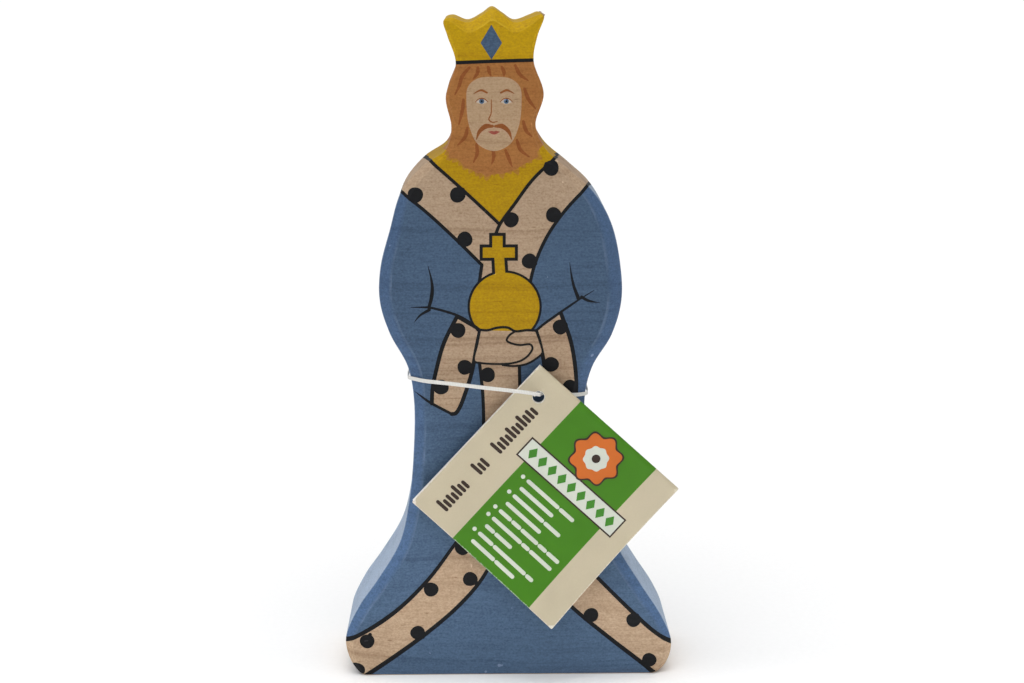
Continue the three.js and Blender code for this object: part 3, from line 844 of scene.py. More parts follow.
def back_layers():
    """The back: one long fall of hair over an ermine cape collar, the robe, and an ermine hem."""
    strokes = [
        [(x, top), (x + bend, (top + low) / 2), (x + 1.6 * bend, low)]
        for x, bend, top, low in BACK_HAIR_STROKES
    ]
    hair, crown = head_layers(BACK_HAIR_EDGE, strokes)
    layers = [
        ("gown_yellow", area(BACK_COLLAR_IN, GOWN_TOP)),
        (None, area(BACK_COLLAR_IN, BACK_COLLAR_OUT[::-1])),
        (None, area(BACK_HEM_UP, BACK_HEM_LOW[::-1])),
    ]
    for line in (BACK_COLLAR_IN, BACK_COLLAR_OUT, BACK_HEM_UP, BACK_HEM_LOW):
        layers.append(("outline_black", ribbon(line, BACK_LINE)))
    return layers + tails(BACK_TAILS) + hair + crown


# ---------------------------------------------------------------- shader building


def put(tree, kind, given=None, **settings):
    """Adds a shader node. Inputs are plain values or the outputs of other nodes."""
    node = tree.nodes.new("ShaderNode" + kind)
    for key, value in settings.items():
        setattr(node, key, value)
    for key, value in (given or {}).items():
        if isinstance(value, bpy.types.NodeSocket):
            tree.links.new(value, node.inputs[key])
        else:
            node.inputs[key].default_value = value
    return node


def calc(tree, operation, a, b=0.0, c=0.0):
    """One sum on one to three numbers."""
    return put(tree, "Math", {0: a, 1: b, 2: c}, operation=operation).outputs[0]


def spread(tree, value, low, high, to_low=0.0, to_high=1.0):
    """A value between low and high, stretched to another range and held inside it."""
    given = {"Value": value, "From Min": low, "From Max": high, "To Min": to_low, "To Max": to_high}
    return put(tree, "MapRange", given).outputs["Result"]


def blend_colours(tree, share, a, b, kind="MIX"):
    """The first colour turned by a share into the second one, or multiplied by it."""
    return put(tree, "Mix", {0: share, 6: a, 7: b}, data_type="RGBA", blend_type=kind).outputs[2]


def noise(tree, place, scale, detail=3.0, roughness=0.55):
    """Smooth noise from 0 to 1, its scale given per millimetre: one number, or three for x, y and z."""
    scales = tuple(float(v) for v in np.broadcast_to(scale, 3))
    at = put(tree, "VectorMath", {0: place, 1: scales}, operation="MULTIPLY").outputs[0]
    given = {"Vector": at, "Scale": 1.0, "Detail": detail, "Roughness": roughness}
    return put(tree, "TexNoise", given).outputs[0]


def weigh(tree, *parts):
    """The sum of several values, each times its own weight."""
    total = None
    for value, weight in parts:
        part = calc(tree, "MULTIPLY", value, weight)
        total = part if total is None else calc(tree, "ADD", total, part)
    return total


def grey_times(tree, colour, share):
    """A colour darkened by a share that is the same for red, green and blue."""
    grey = put(tree, "CombineColor", {0: share, 1: share, 2: share}).outputs[0]
    return blend_colours(tree, 1.0, colour, grey, "MULTIPLY")


def millimetres(tree):
    """Object coordinates in millimetres."""
    at = put(tree, "TexCoord").outputs["Object"]
    return put(tree, "VectorMath", {0: at, "Scale": 1000.0}, operation="SCALE").outputs[0]


def new_group(name, inputs, outputs):
    """An empty shader node group with its sockets. Returns the group, its input node and its output node."""
    group = bpy.data.node_groups.new(name, "ShaderNodeTree")
    for key, (kind, value) in inputs.items():
        socket = group.interface.new_socket(key, in_out="INPUT", socket_type="NodeSocket" + kind)
        socket.default_value = value
    for key, kind in outputs.items():
        group.interface.new_socket(key, in_out="OUTPUT", socket_type="NodeSocket" + kind)
    return group, group.nodes.new("NodeGroupInput"), group.nodes.new("NodeGroupOutput")


def give(group, out, **values):
    """Takes each value to the group's output of that name."""
    for key, value in values.items():
        group.links.new(value, out.inputs[key])


def maple_grain():
    """Maple sawn with its grain lying level: wavering growth lines stacked up the board, short level fibres,
    small dark flecks longer than they are tall, and a fine fuzz all over."""
    kinds = {"Lines": "Float", "Fibre": "Float", "Flecks": "Float", "Fuzz": "Float"}
    group, _, out = new_group("maple_grain", {}, kinds)
    place = millimetres(group)
    waver = noise(group, place, (0.018, 0.03, 0.03), 2.0)
    lift = calc(group, "MULTIPLY", calc(group, "SUBTRACT", waver, 0.5), 9.0)
    moved = put(group, "CombineXYZ", {"X": 0.0, "Y": lift, "Z": lift}).outputs[0]
    wavy = put(group, "VectorMath", {0: place, 1: moved}, operation="ADD").outputs[0]
    lines = spread(group, noise(group, wavy, (0.006, 0.12, 0.55), 3.0, 0.65), 0.52, 0.72)
    fibre = noise(group, wavy, (0.22, 1.8, 3.4), 4.0, 0.6)
    flecks = spread(group, noise(group, wavy, (0.45, 2.2, 3.0), 1.0), 0.7, 0.78)
    fuzz = noise(group, place, (2.3, 2.3, 2.9), 3.0, 0.7)
    give(group, out, Lines=lines, Fibre=fibre, Flecks=flecks, Fuzz=fuzz)
    return group


HEAD_SHADE_FROM, HEAD_SHADE_TO = 15.0, 75.0  # heights between which the board darkens: painted shade for light that falls off towards the head, and partly a deeper stain
# how much darker the head is: painted shade, partly a deeper stain
HEAD_SHADE_AND_STAIN = 0.24
TONE_RANGE = (0.36, 0.64)  # how far the grain's values reach, from the dark tone to the pale one
ON_EDGE = (0.02, 0.4)  # edge numbers over which the sanded edge's tint comes in: a paler stain, and partly painted sheen
ON_SIDE = (0.95, 1.3)  # edge numbers over which the sawn side's tint takes over: painted sheen for light from above and grazing reflection
FACE_RIDGE = (0.0, 0.1, 0.28)  # where the ridge between face and sanded edge starts, peaks and ends
SIDE_RIDGE = (0.85, 1.1, 1.3)  # the same for the ridge between sanded edge and sawn side
CHIPPED = (0.845, 0.86)  # only the tops of the chips' noise show


def wood_finish(grain):
    """Stained or bare wood. Colour runs from Dark to Pale by the fuzz, the fibres and soft clouds, and growth
    lines and flecks darken it. The board darkens towards its head: painted shade for light that falls off up
    the figure, and partly a deeper stain. The sanded edge takes its edge tint, a paler stain and partly
    painted sheen, and the sawn side its side tint, painted sheen for light from above and grazing
    reflection, both as multipliers of the colour. The two ridges beside the sanded edge, and a few small
    chips, turn to Worn."""
    white = (1, 1, 1, 1)
    inputs = {
        "Pale": ("Color", white), "Dark": ("Color", (0, 0, 0, 1)), "Worn": ("Color", white),
        "Edge Stain And Sheen": ("Color", white), "Side": ("Color", white), "Line Strength": ("Float", 0.3),
        "Wear": ("Float", 0.3), "Relief": ("Float", 0.3),
    }
    kinds = {"Color": "Color", "Roughness": "Float", "Normal": "Vector"}
    group, given, out = new_group("wood_finish", inputs, kinds)
    pale, dark, worn_tone, edge_stain_and_sheen, side_sheen = (
        given.outputs[key] for key in ("Pale", "Dark", "Worn", "Edge Stain And Sheen", "Side")
    )
    line_strength, wear, relief = (given.outputs[key] for key in ("Line Strength", "Wear", "Relief"))
    grains = put(group, "Group", node_tree=grain)
    lines, fibre, flecks, fuzz = (grains.outputs[key] for key in ("Lines", "Fibre", "Flecks", "Fuzz"))
    place = millimetres(group)
    clouds = noise(group, place, (0.035, 0.05, 0.06), 2.0)
    tone = weigh(group, (fibre, 0.25), (fuzz, 0.6), (clouds, 0.15))
    colour = blend_colours(group, spread(group, tone, *TONE_RANGE), dark, pale)

    edge = put(group, "Attribute", attribute_name="edge").outputs["Fac"]
    # painted light: the sanded edge is tinted paler, partly by its stain and partly as painted sheen, and the
    # sawn side much paler as painted sheen from above and grazing reflection
    stain_and_sheen = blend_colours(group, spread(group, edge, *ON_EDGE), white, edge_stain_and_sheen)
    stain_and_sheen = blend_colours(group, spread(group, edge, *ON_SIDE), stain_and_sheen, side_sheen)
    colour = blend_colours(group, 1.0, colour, stain_and_sheen, "MULTIPLY")
    # painted shade, partly a deeper stain: the colour darkens up the board towards the head
    height_up = put(group, "SeparateXYZ", {0: place}).outputs[2]
    depth = spread(group, height_up, HEAD_SHADE_FROM, HEAD_SHADE_TO, 1.0, 1.0 - HEAD_SHADE_AND_STAIN)
    colour = grey_times(group, colour, depth)

    marks = calc(group, "MAXIMUM", lines, calc(group, "MULTIPLY", flecks, 1.3))
    marks = calc(group, "MULTIPLY", marks, line_strength)
    colour = blend_colours(group, marks, colour, dark, "MULTIPLY")

    ridge = calc(group, "MAXIMUM", band(group, edge, *FACE_RIDGE), band(group, edge, *SIDE_RIDGE))
    patchy = spread(group, noise(group, place, (0.12, 0.2, 0.12), 3.0, 0.7), 0.4, 0.65)
    worn = calc(group, "MULTIPLY", calc(group, "MULTIPLY", ridge, patchy), wear)
    chips = spread(group, noise(group, place, 0.75, 0.0), *CHIPPED)
    chips = calc(group, "MULTIPLY", chips, calc(group, "MULTIPLY", wear, 2.0))
    colour = blend_colours(group, calc(group, "MAXIMUM", worn, chips), colour, worn_tone)

    rough = spread(group, fuzz, 0.3, 0.7, 0.5, 0.75)
    height = weigh(group, (fibre, 0.6), (fuzz, 0.5), (flecks, -0.4))
    bump = put(group, "Bump", {"Height": height, "Distance": 0.0001, "Strength": relief})
    give(group, out, Color=colour, Roughness=rough, Normal=bump.outputs[0])
    return group


def band(tree, value, low, middle, high):
    """One at the middle value, falling to nothing at the low and high ones."""
    rise = spread(tree, value, low, middle)
    fall = spread(tree, value, middle, high, 1.0, 0.0)
    return calc(tree, "MULTIPLY", rise, fall)


def new_material(name, specular, **plain):
    """A material with its Principled shader. Values that are the same all over sit on the shader itself."""
    material = bpy.data.materials.new(name)
    material.use_nodes = True
    shader = material.node_tree.nodes["Principled BSDF"]
    shader.inputs["Specular IOR Level"].default_value = specular
    for key, value in plain.items():
        shader.inputs[key.replace("_", " ")].default_value = value
    return material, shader


def finished(name, specular, group, given):
    """A material whose colour, roughness and normal come from a finish with the given values."""
    material, shader = new_material(name, specular)
    finish = put(material.node_tree, "Group", given, node_tree=group)
    for output, key in (("Color", "Base Color"), ("Roughness", "Roughness"), ("Normal", "Normal")):
        material.node_tree.links.new(finish.outputs[output], shader.inputs[key])
    return material


def wood_material(name, tones, edge=1.0, side=1.0, lines=0.3, wear=0.3, relief=0.4):
    """A wood finish from its pale, dark and worn tones. The tints of the sanded edge, a paler stain and
    partly painted sheen, and of the sawn side, painted sheen, are one number, or three for red, green and
    blue."""
    pale, dark, worn = tones
    return finished(name, 0.14, WOOD_FINISH, {
        "Pale": pale, "Dark": dark, "Worn": worn, "Edge Stain And Sheen": multiplier(edge), "Side": multiplier(side),
        "Line Strength": lines, "Wear": wear, "Relief": relief,
    })


def multiplier(value):
    """One number, or three, as a colour."""
    return tuple(np.broadcast_to(value, 3)) + (1.0,)


def paper_stock():
    """Coated card: colour clouds a little, fine fibres catch light, and rubbed corners and edges show the
    white stock, by how far out the card's own edge number says a place is."""
    inputs = {"Ink": ("Color", (1, 1, 1, 1)), "Stock": ("Color", (1, 1, 1, 1)), "Rub": ("Float", 0.5)}
    kinds = {"Color": "Color", "Roughness": "Float", "Normal": "Vector"}
    group, given, out = new_group("paper_stock", inputs, kinds)
    place = millimetres(group)
    fibres = noise(group, place, 3.0, 4.0, 0.7)
    clouds = noise(group, place, 0.09, 2.0)
    shade = spread(group, weigh(group, (fibres, 0.4), (clouds, 0.6)), 0.3, 0.7, 0.9, 1.0)
    colour = grey_times(group, given.outputs["Ink"], shade)
    edge = put(group, "Attribute", attribute_name="card_edge").outputs["Fac"]
    rubbed = spread(group, calc(group, "ADD", edge, calc(group, "MULTIPLY", fibres, 0.5)), 1.12, 1.3)
    rubbed = calc(group, "MULTIPLY", rubbed, given.outputs["Rub"])
    colour = blend_colours(group, rubbed, colour, given.outputs["Stock"])
    bump = put(group, "Bump", {"Height": fibres, "Distance": 0.00004, "Strength": 0.35})
    rough = spread(group, fibres, 0.3, 0.7, 0.38, 0.55)
    give(group, out, Color=colour, Roughness=rough, Normal=bump.outputs[0])
    return group


def paper_material(name, ink):
    """Card stock printed all over in one ink."""
    return finished(name, 0.2, PAPER_STOCK, {"Ink": ink, "Stock": PAPER_WHITE, "Rub": 0.6})


BRAID_PITCH = 0.62  # from one crossing of the cord's strands to the next but one
BRAID_STARTS = 4  # strands that wind each way round


def elastic_material():
    """White braided elastic: two sets of slanting strands cross over and under, as the product of two waves
    of the distance along plus and minus the turn round. The grooves between the strands are coloured darker
    as painted shade, mixed with random lint tone."""
    material, shader = new_material("elastic_white", 0.3, Sheen_Weight=0.25)
    tree = material.node_tree
    split = put(tree, "SeparateXYZ", {0: put(tree, "UVMap", uv_map="run").outputs[0]})
    along = calc(tree, "MULTIPLY", split.outputs[0], 2 * math.pi / BRAID_PITCH)
    turn = calc(tree, "MULTIPLY", split.outputs[1], 2 * math.pi * BRAID_STARTS)
    one = calc(tree, "SINE", calc(tree, "ADD", along, turn))
    two = calc(tree, "SINE", calc(tree, "SUBTRACT", along, turn))
    braid = calc(tree, "MULTIPLY_ADD", calc(tree, "MULTIPLY", one, two), 0.5, 0.5)
    lint = noise(tree, millimetres(tree), 5.0, 3.0, 0.7)
    tone = weigh(tree, (braid, 0.6), (lint, 0.4))
    bump = put(tree, "Bump", {"Height": tone, "Distance": 0.00012, "Strength": 0.7})
    # painted shade: the braid's grooves and the lint take the darker colour
    tree.links.new(blend_colours(tree, tone, ELASTIC_SHADE_AND_LINT, ELASTIC_PALE), shader.inputs["Base Color"])
    tree.links.new(spread(tree, lint, 0.3, 0.7, 0.6, 0.85), shader.inputs["Roughness"])
    tree.links.new(bump.outputs[0], shader.inputs["Normal"])
    return material


WOOD_FINISH = wood_finish(maple_grain())
PAPER_STOCK = paper_stock()
ELASTIC_WHITE = elastic_material()
MAPLE = wood_material("maple_bare", MAPLE_TONES, 1.12, 1.1, lines=0.42)

# Each coat's piece and its finish. The sawn sides are tinted much paler: painted sheen for light from above
# and the grazing reflection of the bright surround.
COATS = {
    BARE: ("maple_left_bare", MAPLE),
    "king_blue": ("robe_blue", wood_material(
        "stain_blue", BLUE_TONES, (1.1, 1.16, 1.3), (4.6, 3.4, 2.65), lines=0.22)),
    "gown_yellow": ("gown_and_orb_yellow", wood_material(
        "stain_gown_yellow", GOWN_TONES, 1.15, (1.12, 1.12, 1.25))),
    "crown_yellow": ("crown_yellow", wood_material(
        "stain_crown_yellow", CROWN_TONES, 1.12, (1.05, 1.07, 1.2))),
    "outline_black": ("outlines_black", wood_material(
        "paint_black", BLACK_TONES, lines=0.1, wear=0.15, relief=0.25)),
    "hair_brown": ("hair_brown", wood_material("stain_hair", HAIR_TONES, 1.1, 1.15)),
    "hair_thin": ("hair_thin_edge", wood_material("stain_hair_thin", THIN_HAIR_TONES)),
    "hair_strokes": ("hair_strokes", wood_material("paint_hair_strokes", STROKE_TONES, lines=0.2, wear=0.2)),
    "face_skin": ("face_skin", wood_material("stain_skin", SKIN_TONES, lines=0.38)),
    "eye_white": ("eye_whites", wood_material("paint_eye_white", EYE_TONES, lines=0.15, wear=0.1)),
    "lips_red": ("lips_red", wood_material("paint_lips", LIP_TONES, lines=0.15, wear=0.1)),
}

# ---------------------------------------------------------------- the elastic loop


def strand(name, route, node):
    """One strand of the loop, which stands for its CAD node. Returns it, its middle line and its length."""
    verts, faces, uv = cord(route, ELASTIC)
    piece = new_piece(name, verts, faces, ELASTIC_WHITE, uv=uv, sharp=None)
    path = spline(route, CORD_STEPS) * MM
    length = float(np.linalg.norm(np.diff(path, axis=0), axis=1).sum())
    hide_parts(node)
    return piece, path, length


def make_elastic():
    """The two strands from the figure to the card's loop, each one built in place."""
    left, path, length = strand("elastic_left_strand", LEFT_RUN, "elastic_left")
    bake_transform(left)
    right, path, length = strand("elastic_right_strand", RIGHT_RUN, "elastic_right")
    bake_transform(right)


def make_bight():
    """The short bend of elastic that passes through the card's hole."""
    verts, faces, uv = cord(HOLE_PASS, ELASTIC)
    piece = new_piece("elastic_through_hole", verts, faces, ELASTIC_WHITE, uv=uv, sharp=None)
    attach(piece, "tag_loop")
    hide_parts("elastic_bight")


def make_knot():
    """A pulled-down overhand knot, the trefoil line (sin t + 2 sin 2t, cos t - 2 cos 2t, -sin 3t), with two
    short cut tails hanging from it."""
    t = np.linspace(0, 2 * math.pi, 49)
    trefoil = np.c_[np.sin(t) + 2 * np.sin(2 * t), -np.sin(3 * t), np.cos(t) - 2 * np.cos(2 * t)]
    verts, faces, uv, offset = [], [], [], 0
    for line in (np.array(KNOT_AT) + trefoil * KNOT_SIZE, *KNOT_TAILS):
        v, f, w = cord(line, KNOT_CORD, plies=1, around=14, steps=3, upright=(0, 1, 0))
        verts.append(v)
        faces.append(f + offset)
        uv.append(w)
        offset += len(v)
    piece = new_piece("elastic_knot_and_tails", np.vstack(verts), np.vstack(faces), ELASTIC_WHITE,
                      uv=np.vstack(uv), sharp=None)
    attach(piece, "root")
    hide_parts("elastic_knot")


make_elastic()
make_bight()
make_knot()

# ---------------------------------------------------------------- the king


def make_king():
    """The block is a bare core, and over it every coat and the bare wood between coats is a thin shell, cut
    from one skin so that they lie flush and share its smooth outward directions."""
    verts, faces, _, edge = block_skin(BARE, [], [])
    normals = corner_normals(verts, faces)
    core = new_piece("king_wood", verts - normals * CORE_INSET, faces, MAPLE, {"edge": edge})
    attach(core, "root")
    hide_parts("wooden_figure")
    verts, faces, coats, edge = block_skin("king_blue", front_layers(), back_layers())
    normals = corner_normals(verts, faces)
    for coat, (name, material) in COATS.items():
        used, tiles = compact(faces[coats == coat])
        out = normals[used]
        shell, closed = thicken(verts[used], tiles, out, SKIN_THICK)
        piece = new_piece(name, shell, closed, material, {"edge": np.tile(edge[used], 2)}, sharp=None)
        piece.data.normals_split_custom_set_from_vertices(np.vstack([out, -out]).tolist())
        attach(piece, "root")


make_king()

# ---------------------------------------------------------------- the folded card


def card_place(along, across, lift):
    """A place on the folded card and its outward direction. Across runs over the fold: positive down the
    front leaf, negative down the back one. Within a quarter turn each way it is a half circle; past that a
    flat leaf, which bows out by the square of the way down it, the front one most at its lower corner. The
    lift is outward from the middle layer."""
    angle = np.clip(across / FOLD_RADIUS, -math.pi / 2, math.pi / 2)
    straight = np.maximum(np.abs(across) - HALF_TURN, 0)
    out = -np.cos(angle)[:, None] * OFF_FOLD - np.sin(angle)[:, None] * BACKWARD
    curl = CORNER_CURL * np.clip(along / CARD_SIDE, 0, 1) ** CURL_POWER
    bow = np.where(across > 0, -LEAF_BOW - curl, BACK_BOW) * (straight / CARD_SIDE) ** 2
    corner = np.array([CARD_CORNER[0], CARD_MIDDLE, CARD_CORNER[1]])
    place = corner + along[:, None] * ALONG_FOLD + (FOLD_BACK + straight)[:, None] * OFF_FOLD
    place = place + out * (FOLD_RADIUS + lift)[:, None] + bow[:, None] * BACKWARD
    return place, out


def to_across(down):
    """The distance over the fold of a place that lies so far down the front leaf from the top edge."""
    return np.asarray(down, float) - FOLD_BACK + HALF_TURN


LEAF_REACH = to_across(CARD_SIDE)  # from the fold's middle line over the fold to a leaf's free edge


def card_grid():
    """An even grid of corners on both leaves, clear of the fold and the edges."""
    along, across = np.meshgrid(np.arange(1, CARD_SIDE, CARD_TILE), np.arange(1.2, LEAF_REACH, CARD_TILE))
    half = np.c_[along.ravel(), across.ravel()]
    return np.vstack([half, half * (1, -1)])


def make_card():
    """One square of card folded in half over itself and punched through both leaves: a rectangle cut along
    the print's colour bounds, the fold's lines and the two holes, then bent and thickened. Rubbing fades with
    the exponential of the distance from the edges, and less strongly from the fold."""
    reach, nick = LEAF_REACH, CORNER_NICK
    blank = area(
        [(nick, -reach), (CARD_SIDE - nick, -reach)], [(CARD_SIDE, nick - reach), (CARD_SIDE, reach - nick)],
        [(CARD_SIDE - nick, reach), (nick, reach)], [(0, reach - nick), (0, nick - reach)],
    )
    hole_centres = [(HOLE_AT[0], sign * to_across(HOLE_AT[1])) for sign in (1, -1)]
    holes, rims = (
        [ellipse(*centre, 2 * radius, 2 * radius) for centre in hole_centres]
        for radius in (HOLE_RADIUS, HOLE_RADIUS + HOLE_RIM)
    )
    lines = [np.array([(x, -reach), (x, reach)]) for x in (GREEN_FROM, GREEN_TO)]
    lines += [np.array([(0, y), (CARD_SIDE, y)]) for y in np.linspace(-HALF_TURN, HALF_TURN, FOLD_LINES)]
    corners, tiles = cut_flat([blank, *holes, *rims], card_grid(), lines)
    middle = corners[tiles].mean(1)
    kept = inside(middle, blank) & ~inside(middle, holes[0]) & ~inside(middle, holes[1])
    used, tiles = compact(tiles[kept])
    middle, corners = middle[kept], corners[used]
    cream, green, white = range(3)
    in_band = (middle[:, 0] > GREEN_FROM) & (middle[:, 0] < GREEN_TO)
    in_rim = inside(middle, rims[0]) | inside(middle, rims[1])
    print_colour = np.where(in_rim, white, np.where(in_band, green, cream))
    place, out = card_place(corners[:, 0], corners[:, 1], np.full(len(corners), CARD_THICK / 2))
    verts, faces = thicken(place, tiles, out, CARD_THICK)
    from_fold = np.abs(corners[:, 1])
    from_edge = np.minimum.reduce([corners[:, 0], CARD_SIDE - corners[:, 0], reach - from_fold])
    at_fold = np.exp(-np.maximum(from_fold - HALF_TURN, 0) / FOLD_RUB) * 0.8
    edge = np.maximum(np.exp(-from_edge / EDGE_RUB), at_fold)
    piece = new_piece("tag_card_folded", verts, faces, paper_material("card_cream", CARD_CREAM),
                      {"card_edge": np.tile(edge, 2)})
    piece.data.materials.append(paper_material("card_green", CARD_GREEN))
    piece.data.materials.append(paper_material("card_white_stock", PAPER_WHITE))
    slots = np.full(len(piece.data.polygons), white)
    slots[:len(tiles)] = print_colour
    piece.data.polygons.foreach_set("material_index", slots)
    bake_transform(piece)
    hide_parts("tag_back_leaf", "tag_front_leaf")


# ---------------------------------------------------------------- the card's print

INK_THICK = 0.03
INK_TILE = 1.8  # the step of the corners inside a printed shape
# How far each ink stands off the leaf, from the lowest to the badge's own.
LOW_INK, PANEL_INK, UPPER_INK, PETAL_INK, HEART_INK, EYE_INK = 0.02, 0.035, 0.05, 0.065, 0.08, 0.095

HEADING_WORDS = [7.2, 3.0, 11.4]
HEADING_GAP = 2.6
HEADING_FOOT, HEADING_START = 5.9, 33.4  # the marks' line down the leaf, and where it starts along the fold
MARK_INSET, MARK_STEP, MARK_WIDTH = 0.4, 1.02, 0.7
MARK_REACH = (2.3, 1.45, 1.7, 1.3, 2.2, 1.5, 1.35)  # how tall the heading's upright marks stand, in turn
LABEL = (8.4, 11.3, 33.1, 16.0)
LABEL_LINE = 0.32
LOZENGES, LOZENGE_MARGIN = 9, 2.3
LOZENGE_HALF = (0.95, 1.35)  # half the width and half the height
BADGE_AT = (20.4, 6.3)
# The badge's rosettes: radius, petals, how deep the scallops are, and corners.
BADGE_BORDER, BADGE_PETALS = (5.0, 8, 0.09, 96), (4.6, 8, 0.1, 96)
BADGE_HEART, BADGE_EYE = (2.4, 8, 0.06, 48), (0.85, 5, 0.0, 24)
TEXT_TOP, LINE_STEP = 18.3, 1.98
TEXT_LEFT, BULLET_LEFT = 13.8, 12.4
TEXT_WIDTH, WORD_GAP, BULLET_RADIUS = 0.78, 0.85, 0.42
# Each line of text: whether a bullet stands before it, and its words' lengths.
TEXT_WORDS = [
    (1, [7.6, 3.0]), (0, [7.8]), (1, [7.2, 3.4]), (0, [8.2]), (1, [2.4, 1.6, 3.6, 1.4, 2.4]),
    (1, [6.8, 1.2, 4.9]), (0, [1.6, 3.6]), (1, [3.0, 7.6, 1.1]), (0, [5.2, 4.2]),
]


def printed(name, polygons, material, lift):
    """Ink on the front leaf: each flat shape, given by its distance along the fold and down from the top
    edge, cut into tiles, laid on the leaf and given a hair's thickness."""
    verts, faces, offset = [], [], 0
    for polygon in polygons:
        low, high = polygon.min(0) + INK_TILE / 2, polygon.max(0)
        x, y = np.meshgrid(np.arange(low[0], high[0], INK_TILE), np.arange(low[1], high[1], INK_TILE))
        guides = np.c_[x.ravel(), y.ravel()]
        corners, tiles = cut_flat([polygon], guides[inside(guides, polygon)])
        used, tiles = compact(tiles[inside(corners[tiles].mean(1), polygon)])
        corners = corners[used]
        top = np.full(len(corners), CARD_THICK / 2 + lift)
        place, out = card_place(corners[:, 0], to_across(corners[:, 1]), top)
        v, f = thicken(place, tiles, out, INK_THICK)
        verts.append(v)
        faces.append(f + offset)
        offset += len(v)
    piece = new_piece(name, np.vstack(verts), np.vstack(faces), material, {"card_edge": np.zeros(offset)})
    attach(piece, "tag_front")


def bar(x0, y0, x1, y1, width):
    """A printed bar with round ends, from one point to another."""
    return ribbon([(x0, y0), (x1, y1)], width, steps=2, tip=4)


def box(x0, y0, x1, y1):
    """A printed rectangle between two of its corners."""
    return np.array([(x0, y0), (x1, y0), (x1, y1), (x0, y1)])


def word_bars(lengths, gap):
    """Where words of the given lengths start and end on one line."""
    starts = np.r_[0, np.cumsum(np.asarray(lengths) + gap)[:-1]]
    return [(s, s + n) for s, n in zip(starts, lengths)]


def rosette(x, y, radius, petals, depth, count):
    """A round badge with scalloped edges: the radius swells and shrinks with the cosine of the turn."""
    t = np.linspace(0, 2 * math.pi, count, endpoint=False)
    r = radius * (1 + depth * np.cos(petals * t))
    return np.c_[x + r * np.cos(t), y + r * np.sin(t)]


def make_print():
    """Plain stand-ins for the print: bars for words, lozenges for the label's name and a flower badge."""
    dark = paper_material("ink_dark", INK_DARK)
    white = paper_material("ink_white", INK_WHITE)
    orange = paper_material("ink_orange", INK_ORANGE)
    heading = []
    for start, end in word_bars(HEADING_WORDS, HEADING_GAP):
        for number, at in enumerate(HEADING_START - np.arange(start + MARK_INSET, end, MARK_STEP)):
            reach = MARK_REACH[number % len(MARK_REACH)]
            heading.append(bar(HEADING_FOOT, at, HEADING_FOOT - reach, at, MARK_WIDTH))
    printed("tag_heading_bars", heading, dark, LOW_INK)
    x0, y0, x1, y1 = LABEL
    inner = box(x0 + LABEL_LINE, y0 + LABEL_LINE, x1 - LABEL_LINE, y1 - LABEL_LINE)
    printed("tag_label_border", [box(*LABEL)], dark, LOW_INK)
    printed("tag_label_panel", [inner], white, PANEL_INK)
    middle = (y0 + y1) / 2
    across, up = LOZENGE_HALF
    lozenges = [
        np.array([(x - across, middle), (x, middle - up), (x + across, middle), (x, middle + up)])
        for x in np.linspace(x0 + LOZENGE_MARGIN, x1 - LOZENGE_MARGIN, LOZENGES)
    ]
    printed("tag_label_lozenges", lozenges, paper_material("ink_green", INK_GREEN), UPPER_INK)
    printed("tag_badge_border", [rosette(*BADGE_AT, *BADGE_BORDER)], dark, UPPER_INK)
    printed("tag_badge_petals", [rosette(*BADGE_AT, *BADGE_PETALS)], orange, PETAL_INK)
    printed("tag_badge_heart", [rosette(*BADGE_AT, *BADGE_HEART)], white, HEART_INK)
    printed("tag_badge_eye", [rosette(*BADGE_AT, *BADGE_EYE)], dark, EYE_INK)
    text = []
    for number, (bullet, lengths) in enumerate(TEXT_WORDS):
        y = TEXT_TOP + number * LINE_STEP
        if bullet:
            text.append(rosette(BULLET_LEFT, y, BULLET_RADIUS, 3, 0.0, 16))
        for start, end in word_bars(lengths, WORD_GAP):
            text.append(bar(TEXT_LEFT + start, y, TEXT_LEFT + end, y, TEXT_WIDTH))
    printed("tag_text_bars", text, white, LOW_INK)


make_card()
make_print()

# ---------------------------------------------------------------- floor and light, in metres

FLOOR_LINES = np.array([-14, -4, -1, -0.3, 0.3, 1, 4, 14])

SUN_STRENGTH = 1.8
SUN_SIZE = math.radians(70)
SUN_TURN = (math.radians(10), math.radians(-8), 0)
LAMP_POWER = 0.2
LAMP_SIZE = 0.7
LAMP_AT, LAMP_AIM = (-0.35, -0.75, 0.12), (0, 0, 0.02)
GLOW_POWER = 0.06
GLOW_WIDTH, GLOW_DEPTH = 0.2, 0.05
GLOW_SPREAD = math.radians(25)
GLOW_AT = (0, -0.075, 0.24)
SURROUND = 0.59


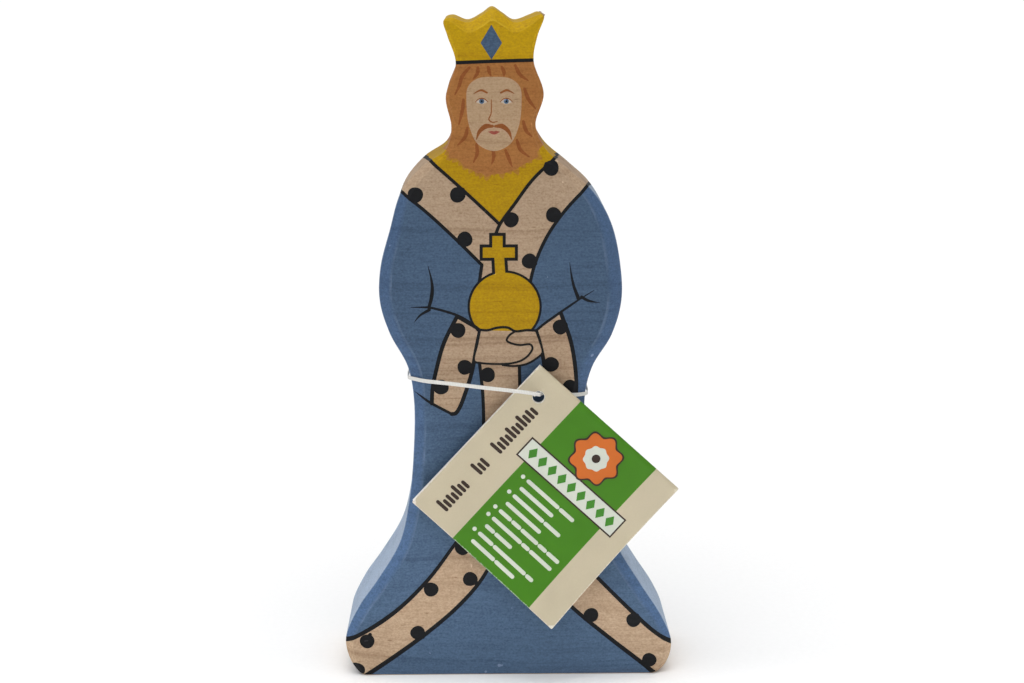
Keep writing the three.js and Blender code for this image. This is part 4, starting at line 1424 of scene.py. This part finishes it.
def make_floor():
    """A wide level sheet of white paper, as a plain grid."""
    x, y = np.meshgrid(FLOOR_LINES, FLOOR_LINES)
    verts = np.stack([x.ravel(), y.ravel(), np.zeros(x.size)], 1)
    rows, cols = x.shape
    i, j = (v.ravel() for v in np.meshgrid(np.arange(rows - 1), np.arange(cols - 1), indexing="ij"))
    a = i * cols + j
    faces = np.c_[a, a + 1, a + cols + 1, a + cols]
    material, shader = new_material("floor_paper", 0.1)
    tree = material.node_tree
    tone = noise(tree, millimetres(tree), 0.9, 3.0)
    tree.links.new(blend_colours(tree, tone, FLOOR_DARK, FLOOR_PALE), shader.inputs["Base Color"])
    tree.links.new(spread(tree, tone, 0.3, 0.7, 0.8, 0.95), shader.inputs["Roughness"])
    new_piece("floor_sheet", verts / MM, faces, material, sharp=None)


def add_light(name, kind, power, **settings):
    """A light of one kind. The settings are the light's own, such as its shape and size."""
    data = bpy.data.lights.new(name, kind)
    data.energy = power
    for key, value in settings.items():
        setattr(data, key, value)
    light = bpy.data.objects.new(name, data)
    bpy.context.collection.objects.link(light)
    return light


def make_light():
    """A very broad sun almost straight overhead and a bright even surround, with a soft lamp in front on the
    left. A narrow lamp over the floor just in front of the foot gives the lower figure light from below."""
    sun = add_light("overhead_sky", "SUN", SUN_STRENGTH, angle=SUN_SIZE)
    sun.rotation_euler = SUN_TURN
    lamp = add_light("front_lamp", "AREA", LAMP_POWER, shape="RECTANGLE", size=LAMP_SIZE, size_y=LAMP_SIZE)
    lamp.location = LAMP_AT
    lamp.rotation_euler = (Vector(LAMP_AIM) - lamp.location).to_track_quat("-Z", "Y").to_euler()
    glow = add_light("floor_glow", "AREA", GLOW_POWER, shape="RECTANGLE", size=GLOW_WIDTH, size_y=GLOW_DEPTH)
    glow.data.spread = GLOW_SPREAD
    glow.location = GLOW_AT
    world = bpy.data.worlds.new("surround")
    world.use_nodes = True
    world.node_tree.nodes["Background"].inputs["Color"].default_value = (1, 1, 1, 1)
    world.node_tree.nodes["Background"].inputs["Strength"].default_value = SURROUND
    bpy.context.scene.world = world
    bpy.context.scene.view_settings.view_transform = "Standard"


make_floor()
make_light()
